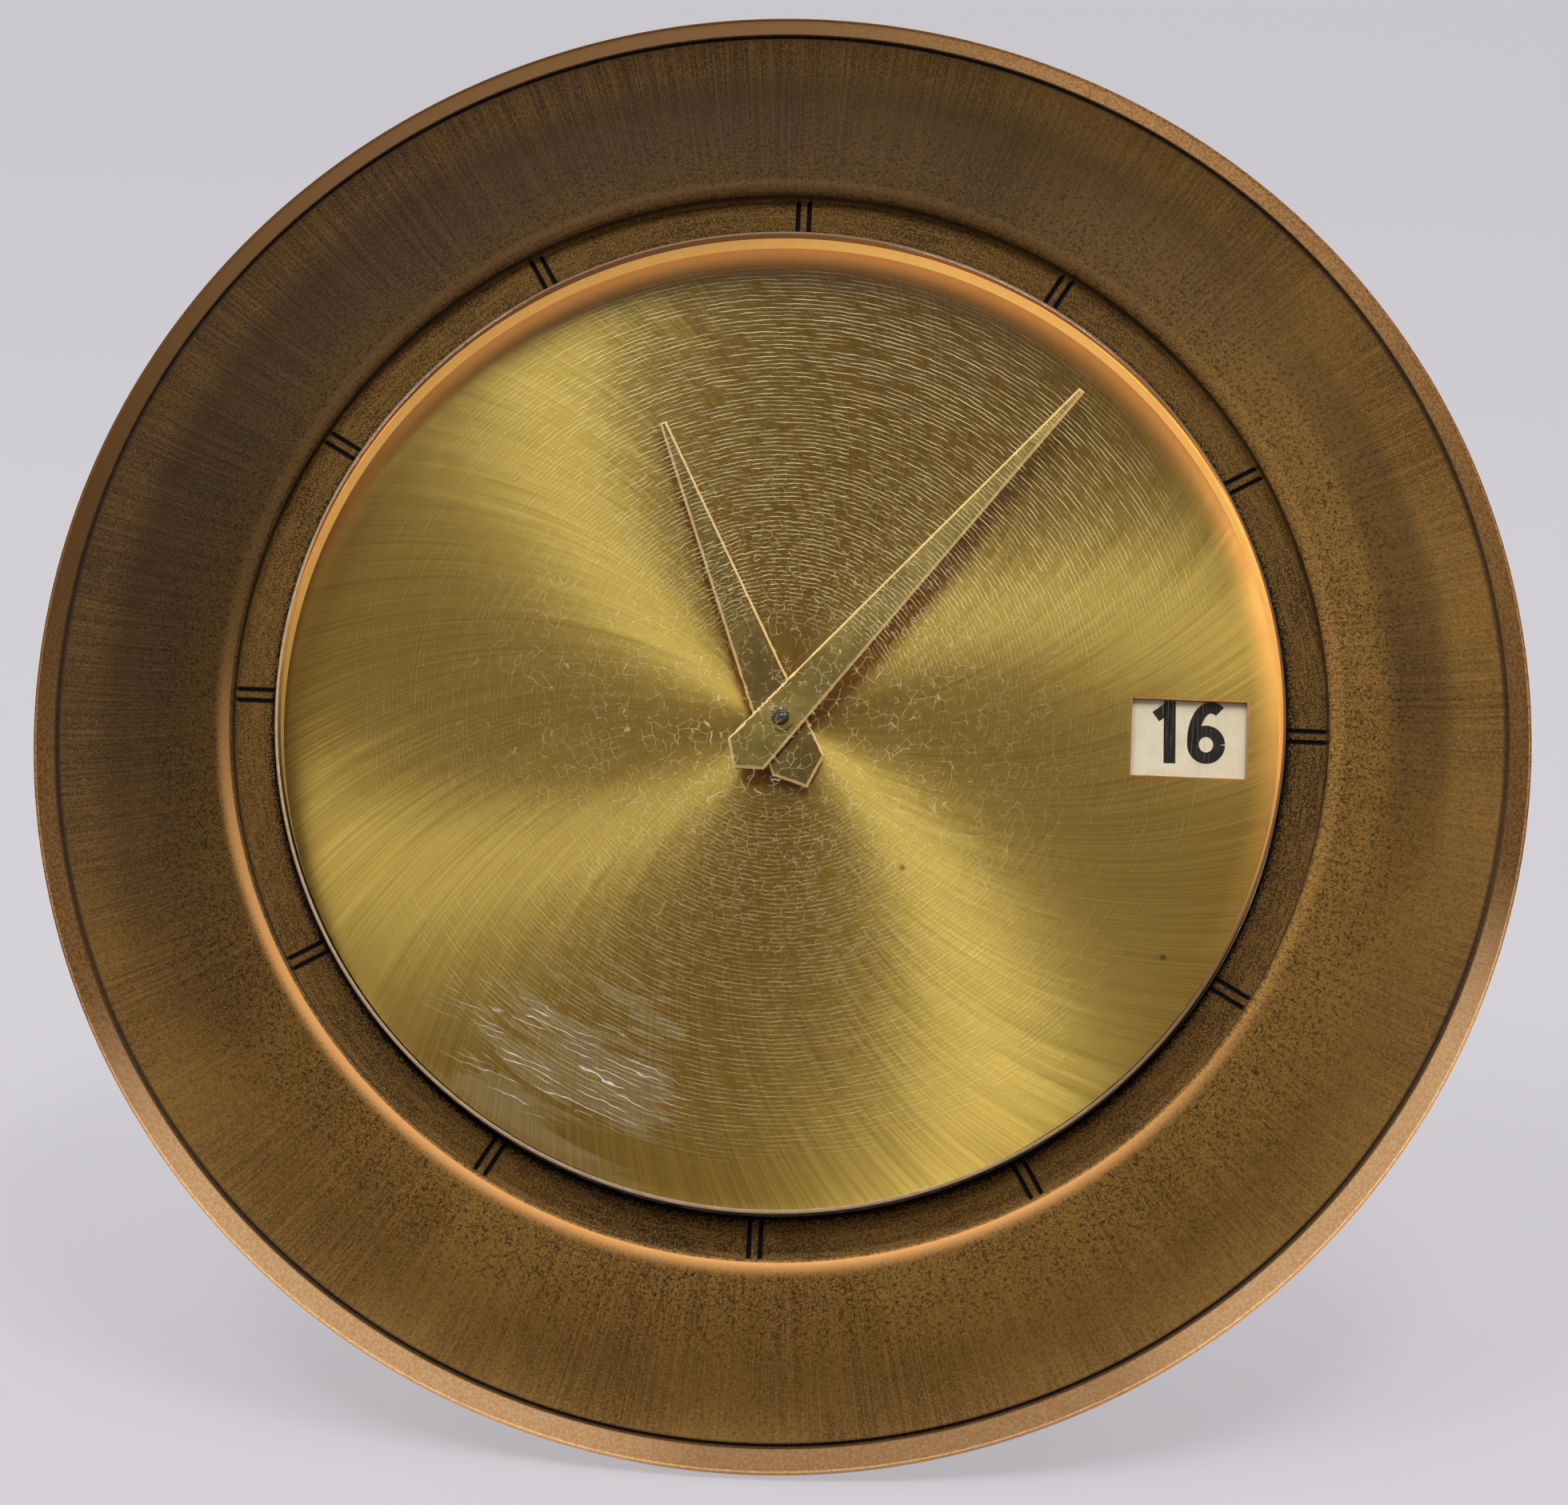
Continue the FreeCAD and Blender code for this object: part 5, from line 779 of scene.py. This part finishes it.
def crazing_dashes(f, wander):
    """Rows 2.3 to a millimetre of radius, bent by two noises. A noise that runs round the axis and
    jumps from row to row picks the dashes; they are dense above and few below: a painted glint,
    bright where the light catches the cracks."""
    kinks = f.noise(f.polar(f.round, 28.0, 0.9), 1.0, 2.0, 0.7)
    rows = f.raised(f.raised(f.product(f.radius, 2.3), kinks, 0.55), wander, 1.5)
    row = f.combine(z=f.product(f.math("FLOOR", rows), 7.3))
    lit = f.noise(f.vector("ADD", f.scaled(f.round, 17.0), row), 1.0, 1.0)
    dash = f.product(f.band(lit, 0.36, 0.44), f.band(lit, 0.42, 0.64, 0.35, 1.0))
    zone = f.product(f.band(f.radius, 7.0, 13.0), f.falls(f.radius, 41.0, 47.5))
    upper, lower = f.towards(12.0, 25.0, 75.0), f.towards(182.0, 15.0, 60.0)
    density = f.largest(upper, f.raised(0.12, lower, 0.35))
    return f.product(row_lines(f, rows, 0.03, 0.11), dash, zone, density)


def crazing_net(f, wander):
    """The thin borders of Voronoi cells, in patches, fading outward."""
    bent = f.vector("ADD", f.scaled(f.lathe, 0.95), f.combine(wander, wander))
    cells = {"Vector": bent, "Scale": 1.0}
    border = f.node("TexVoronoi", cells, feature="DISTANCE_TO_EDGE", voronoi_dimensions="3D")
    patches = f.band(f.noise(f.lathe, 0.9, 2.0), 0.42, 0.54)
    return f.product(f.falls(border, 0.005, 0.03), patches, f.falls(f.radius, 10.0, 42.0), 0.5)


# %% The crystal's finish
def crystal_finish():
    """Clear acrylic, mixed with a bright glint on the crazing and with white on the rubbed patch."""
    f = LatheFinish("crazed_acrylic")
    wander = f.noise(f.polar(f.round, 5.0, 0.35), 1.0, 3.0, 0.65)
    on_top = f.band(f.z, 1.0, 1.2)
    crazed = f.product(f.largest(crazing_dashes(f, wander), crazing_net(f, wander)), on_top, 0.95)
    rubbed = f.product(rubbed_scratches(f), on_top)
    ripple = f.product(f.noise(f.polar(f.round, 3.0, 0.30), 1.0, 2.0), f.falls(f.radius, 44.0, 48.0))
    clear = f.principled(
        Base_Color=(1.0, 0.985, 0.93), Roughness=0.0, IOR=1.49, Transmission_Weight=1.0,
        Normal=f.bump(ripple, 0.16, 0.0004),
    )
    # Painted glint: the cracks are drawn in a pale gold that stands for the light they catch.
    glint = f.principled(Base_Color=(1.0, 0.86, 0.45), Roughness=0.3, Specular_IOR_Level=1.0)
    white = f.principled(Base_Color=(0.95, 0.95, 0.86), Roughness=0.3, Specular_IOR_Level=1.0)
    air = f.node("BsdfTransparent", {"Color": (0.98, 0.96, 0.90)})
    wall = f.mix(rubbed, f.mix(crazed, clear, glint), white)
    return f.finish(f.mix(f.node("LightPath", out="Is Shadow Ray"), wall, air))


# %% The crystal's edge
def gilt_lining():
    """The gilt wall inside the crystal. Its upper half is painted bright orange gold and given a
    painted glow, strongest round half past one, standing for light that thick acrylic gathers and
    lets out at its edge; the lower half is dull."""
    f = LatheFinish("gilt_lining")
    marks = f.band(f.noise(f.polar(f.round, 30.0, 1.5), 1.0, 3.0, 0.6), 0.35, 0.65)
    # Painted light: bright gold above, dull below, by the direction from the middle.
    upper = f.towards(15.0, 75.0, 125.0)
    gold = f.blend(upper, (0.30, 0.22, 0.06), f.blend(marks, (0.92, 0.46, 0.10), (0.97, 0.54, 0.15)))
    glow = f.raised(f.product(upper, 0.38), f.towards(45.0, 15.0, 55.0), 0.22)
    return f.finish(f.principled(
        Base_Color=gold, Metallic=0.2, Roughness=0.35,
        Emission_Color=(1.0, 0.57, 0.16), Emission_Strength=glow,
    ))


def edge_finish(name, light, dark, upper):
    """The crystal's own edge: matt, with marks that run down it, and `upper` round 1 o'clock."""
    f = LatheFinish(name)
    marks = f.band(f.noise(f.polar(f.round, 60.0, 2.0), 1.0, 3.0, 0.6), 0.35, 0.65)
    colour = f.blend(f.towards(35.0, 75.0, 130.0), f.blend(marks, light, dark), upper)
    return f.finish(f.principled(Base_Color=colour, Roughness=0.5))


def dress_crystal():
    """Four zones of the wall: the clear cap, the gilt lining inside and below, the rounded edge
    painted cream as a painted highlight, brown round 1 o'clock, and the side, dark with old polish."""
    # Painted highlight: the crystal's rounded edge is cream where light would shine in it.
    cream = edge_finish("edge_highlight", (0.60, 0.40, 0.22), (0.74, 0.53, 0.30), (0.24, 0.13, 0.055))
    polish = (0.035, 0.022, 0.017)
    grimy = edge_finish("grimy_side", (0.11, 0.070, 0.045), polish, polish)
    for material in (crystal_finish(), gilt_lining(), cream, grimy):
        crystal.data.materials.append(material)
    centres = np.empty(len(crystal.data.polygons) * 3)
    crystal.data.polygons.foreach_get("center", centres)
    offset = (centres.reshape(-1, 3) - LATHE_CENTRE) / MM
    height = offset @ OUTWARD
    radius = np.linalg.norm(offset - height[:, None] * OUTWARD, axis=1)
    low, high = height < FLANGE_TOP + 0.1, height > SHOULDER_END[1] - 0.1
    zone = np.zeros(len(height), int)
    zone[((radius < CAP_INSIDE + 0.05) & (height < -0.4)) | low] = 1
    zone[(radius > SHOULDER[0] + 0.11) & high] = 2
    zone[(radius > CAP_OUTSIDE - 0.15) & ~high & ~low] = 3
    crystal.data.polygons.foreach_set("material_index", zone)
    print("faces of each finish on the crystal:", np.bincount(zone).tolist())


dress_crystal()

# %% [markdown]
# ## Plain metals, enamel, rubber and felt
# The other metals differ in colour, gloss and in the way they were cut. A small recipe makes
# them all: a noise for stains, a finer one for polish, and a Bevel node that rounds the sharp CAD
# edges for the light without touching the mesh. The polished hands need another: seen close,
# light creeps under them and colours their shadow.


# %% Metals
def metal_finish(name, light, dark, rough, anisotropic=0.0, turned_marks=0.0, stain=0.5):
    """Light metal stained dark in clouds and in the grain, with turning marks round the axis."""
    f = LatheFinish(name)
    clouds = f.noise(f.lathe, 0.11, 4.0, 0.6)
    grain = f.noise(f.lathe, 3.5, 3.0, 0.7)
    rings = f.noise(f.polar(f.round, 2.0, 9.0), 1.0, 2.0, 0.8)
    colour = f.blend(f.band(clouds, 0.36, 0.66, 0.0, stain), light, dark)
    colour = f.blend(f.band(grain, 0.5, 0.72, 0.0, stain * 0.7), colour, dark)
    relief = f.math("ADD", f.product(rings, turned_marks), f.product(grain, 0.15))
    edge = f.node("Bevel", {"Radius": 0.00018}, samples=4)
    return f.finish(f.principled(
        Base_Color=colour, Metallic=1.0, Roughness=f.band(grain, 0.3, 0.7, rough * 0.8, rough * 1.25),
        Anisotropic=anisotropic, Tangent=f.in_world(f.along),
        Normal=f.bump(relief, 0.3, 0.00005, Normal=edge),
    ))


def polished(name, colour, rough, metallic=1.0):
    """A mirror of a metal, only clouded a little where it was rubbed. Light creeps under a hand
    between two polished faces, so its shadow is a thin orange one, never black."""
    f = LatheFinish(name)
    cloud = f.band(f.noise(f.lathe, 0.25, 3.0, 0.6), 0.35, 0.7, rough * 0.9, rough * 1.15)
    face = f.principled(Base_Color=colour, Metallic=metallic, Roughness=cloud)
    bounced = f.node("BsdfTransparent", {"Color": (0.62, 0.36, 0.14)})
    return f.finish(f.mix(f.node("LightPath", out="Is Shadow Ray"), face, bounced))


case_brass = metal_finish("aged_brass", (0.42, 0.27, 0.11), (0.20, 0.115, 0.045), 0.34, 0.5, 0.7)
gilt_ring = metal_finish("gilt_ring", (0.85, 0.45, 0.14), (0.65, 0.30, 0.09), 0.25, 0.3, 0.2, 0.3)
hand_gilt = polished("hand_gilt", (0.86, 0.68, 0.26), 0.12)
satin_gilt = polished("satin_gilt", (0.52, 0.41, 0.13), 0.22)
# Painted highlight: the hands' bevels get a paler, half-metallic gold that looks bright under any light.
bevel_highlight = polished("bevel_highlight", (0.95, 0.72, 0.36), 0.4, 0.45)
staff_end = polished("staff_end", (0.10, 0.085, 0.075), 0.25)
movement_brass = metal_finish("movement_brass", (0.72, 0.53, 0.25), (0.55, 0.38, 0.16), 0.3)
steel = metal_finish("steel", (0.48, 0.48, 0.49), (0.25, 0.25, 0.26), 0.28)
spring_steel = metal_finish("spring_steel", (0.30, 0.32, 0.36), (0.16, 0.17, 0.2), 0.25)
blued_steel = metal_finish("blued_steel", (0.05, 0.08, 0.22), (0.03, 0.04, 0.1), 0.2)


# %% Matt finishes
def matt_finish(name, light, dark, rough, scale, height, sheen=0.0, specular=0.5):
    """Two close colours in the patches of one noise, which also roughens the surface."""
    f = Finish(name)
    grain = f.noise(f.node("TexCoord", out="Object"), scale, 4.0, 0.7)
    return f.finish(f.principled(
        Base_Color=f.blend(f.band(grain, 0.35, 0.65), light, dark), Roughness=rough,
        Sheen_Weight=sheen, Specular_IOR_Level=specular, Normal=f.bump(grain, 0.5, height),
    ))


enamel = matt_finish("cream_enamel", (0.66, 0.62, 0.53), (0.60, 0.56, 0.47), 0.35, 600.0, 0.00001)
ink = matt_finish(
    "black_ink", (0.006, 0.006, 0.008), (0.014, 0.014, 0.017), 0.6, 2500.0, 0.00001, specular=0.1
)
rubber = matt_finish("black_rubber", (0.03, 0.028, 0.026), (0.05, 0.046, 0.042), 0.6, 2000.0, 0.00003)
felt = matt_finish("green_felt", (0.03, 0.06, 0.04), (0.06, 0.10, 0.07), 0.95, 2800.0, 0.0003, 0.4)

# %% Dress every node
finish_of = {
    "bezel_bronze": bronze, "case_brass": case_brass, "dial_gilt": gilt_ring, "hand_gilt": hand_gilt,
    "date_enamel": enamel, "movement_brass": movement_brass, "steel": steel,
    "spring_steel": spring_steel, "blued_steel": blued_steel, "gasket_rubber": rubber,
    "felt": felt, "acrylic": crystal.data.materials[0],
}
for name, node in frame["nodes"].items():
    dress(finish_of[slot_of[name]], node)
for name, skin in skins.items():
    if name != "dial":
        dress(finish_of[slot_of[name]], skin)


def dress_hand(hand, face):
    """A hand's flat face and its bevels, which are the faces that lean 20 to 70 degrees; the bevels
    get the painted highlight.
    """
    dress(face, hand)
    hand.data.materials.append(bevel_highlight)
    normals = np.empty(len(hand.data.polygons) * 3)
    hand.data.polygons.foreach_get("normal", normals)
    upright = normals.reshape(-1, 3) @ OUTWARD
    leaning = (upright > np.cos(radians(70))) & (upright < np.cos(radians(20)))
    hand.data.polygons.foreach_set("material_index", leaning.astype(int))
    print(hand.name, "has", leaning.sum(), "faces on its bevels")


dress_hand(skins["hour_hand"], hand_gilt)
dress_hand(skins["minute_hand"], satin_gilt)
dress(satin_gilt, skins["cannon_pinion"])
dress(staff_end, skins["centre_wheel"])
dress(ink, numerals)
print(len(finish_of), "slots dressed")

# %% [markdown]
# ## The studio
# The clock stands on a plain pale floor. Two large soft lamps hang above it, one left and one
# right of the reader, where each sends one line of light across the dial, and a tiny third one
# makes the crystal's rubbed patch shine. The world is a soft grey that fills the shadows and
# gives the metal something to mirror.


# %% Floor and world
FLOOR_REACH, EVEN_SHARE = 4.0, 0.68


def make_floor():
    """Pale paper. EVEN_SHARE of it is seen as an even glow by the camera, the metal and the
    crystal, so the clock's shadow on it stays soft and faint."""
    floor_mesh = bpy.data.meshes.new("floor")
    corners = [(FLOOR_REACH * x, FLOOR_REACH * y, 0) for x, y in ((-1, -1), (1, -1), (1, 1), (-1, 1))]
    floor_mesh.from_pydata(corners, [], [(0, 1, 2, 3)])
    floor = bpy.data.objects.new("floor", floor_mesh)
    bpy.context.scene.collection.objects.link(floor)
    f = Finish("pale_paper")
    place = f.node("TexCoord", out="Object")
    depth = f.split(place)[1]
    near = f.blend(f.noise(place, 3.0, 2.0), (0.67, 0.655, 0.69), (0.70, 0.685, 0.72))
    colour = f.blend(f.band(depth, -0.1, 1.5), near, (0.82, 0.80, 0.84))
    paper = f.principled(Base_Color=colour, Roughness=0.9, Specular_IOR_Level=0.2)
    even = f.blend(f.band(depth, -0.15, 0.9), (0.645, 0.62, 0.66), (0.565, 0.55, 0.585))
    camera_ray, glossy_ray, clear_ray = (
        f.node("LightPath", out=f"Is {kind} Ray") for kind in ("Camera", "Glossy", "Transmission")
    )
    share = f.product(f.largest(camera_ray, glossy_ray, clear_ray), EVEN_SHARE)
    dress(f.finish(f.mix(share, paper, f.node("Emission", {"Color": even}))), floor)


def make_world():
    """Its light rises with 0.45 y + 0.89 z of the direction looked in: bright above and a
    little behind, dim where the reader sits."""
    world = bpy.data.worlds.new("studio")
    bpy.context.scene.world = world
    world.use_nodes = True
    sky = Nodes(world.node_tree)
    rise = sky.vector("DOT_PRODUCT", sky.node("TexCoord"), (0.0, 0.45, 0.89), out=1)
    colour = sky.blend(sky.band(rise, 0.3, 0.95), (0.08, 0.065, 0.05), (1.1, 1.1, 1.13))
    background = sky.node("Background", {"Color": colour, "Strength": 1.0})
    surface = sky.tree.nodes.new("ShaderNodeOutputWorld").inputs["Surface"]
    sky.tree.links.new(background, surface)


make_floor()
make_world()


# %% Lamps
def unit(vector):
    return vector / np.linalg.norm(vector)


def make_lamp(name, towards, across, distance, size, power, tint=(1.0, 1.0, 1.0)):
    """An area lamp on the given lathe direction, facing the dial's middle. Its short side lies
    along the clock angle `across`, so the brushed dial's arms stay narrow."""
    outward = unit(from_lathe(towards) - LATHE_CENTRE)
    angle = radians(across)
    short = from_lathe((np.sin(angle), np.cos(angle), 0.0)) - LATHE_CENTRE
    short = unit(short - outward * (short @ outward))
    light = bpy.data.lights.new(name, "AREA")
    light.shape, light.size, light.size_y = "RECTANGLE", *size
    light.energy, light.color = power, tint
    lamp = bpy.data.objects.new(name, light)
    bpy.context.scene.collection.objects.link(lamp)
    lamp.location = LATHE_CENTRE + distance * outward
    turn = np.column_stack([short, np.cross(outward, short), outward])
    lamp.rotation_euler = mathutils.Matrix(turn.tolist()).to_euler()
    print(name, "at", np.round(lamp.location, 3).tolist())


make_lamp("lamp_right", (0.187, 0.656, 0.731), 117.5, 1.6, (0.31, 0.80), 8.3)
make_lamp("lamp_left", (-0.385, 0.555, 0.737), 47.0, 1.6, (0.30, 0.80), 6.5)
make_lamp("window", (-0.111, 0.089, 0.990), 90.0, 1.2, (0.10, 0.07), 0.014, (0.95, 1.0, 0.75))

# %% [markdown]
# The camera looks at the dial from a little below its axis, from about half a metre away, with a
# long lens. Its place and turn are given as plain numbers, so it never has to be aimed again.

# %% Camera
camera_data = bpy.data.cameras.new("camera")
camera_data.lens, camera_data.sensor_width = 110.204, 36.0
camera_data.clip_start, camera_data.clip_end = 0.01, 20.0
camera = bpy.data.objects.new("camera", camera_data)
camera.location = (0.015308, -0.466435, 0.199374)
camera.rotation_euler = [radians(angle) for angle in (73.4478, -1.7040, 2.3478)]
bpy.context.scene.collection.objects.link(camera)
bpy.context.scene.camera = camera
bpy.context.scene.view_settings.view_transform = "Standard"
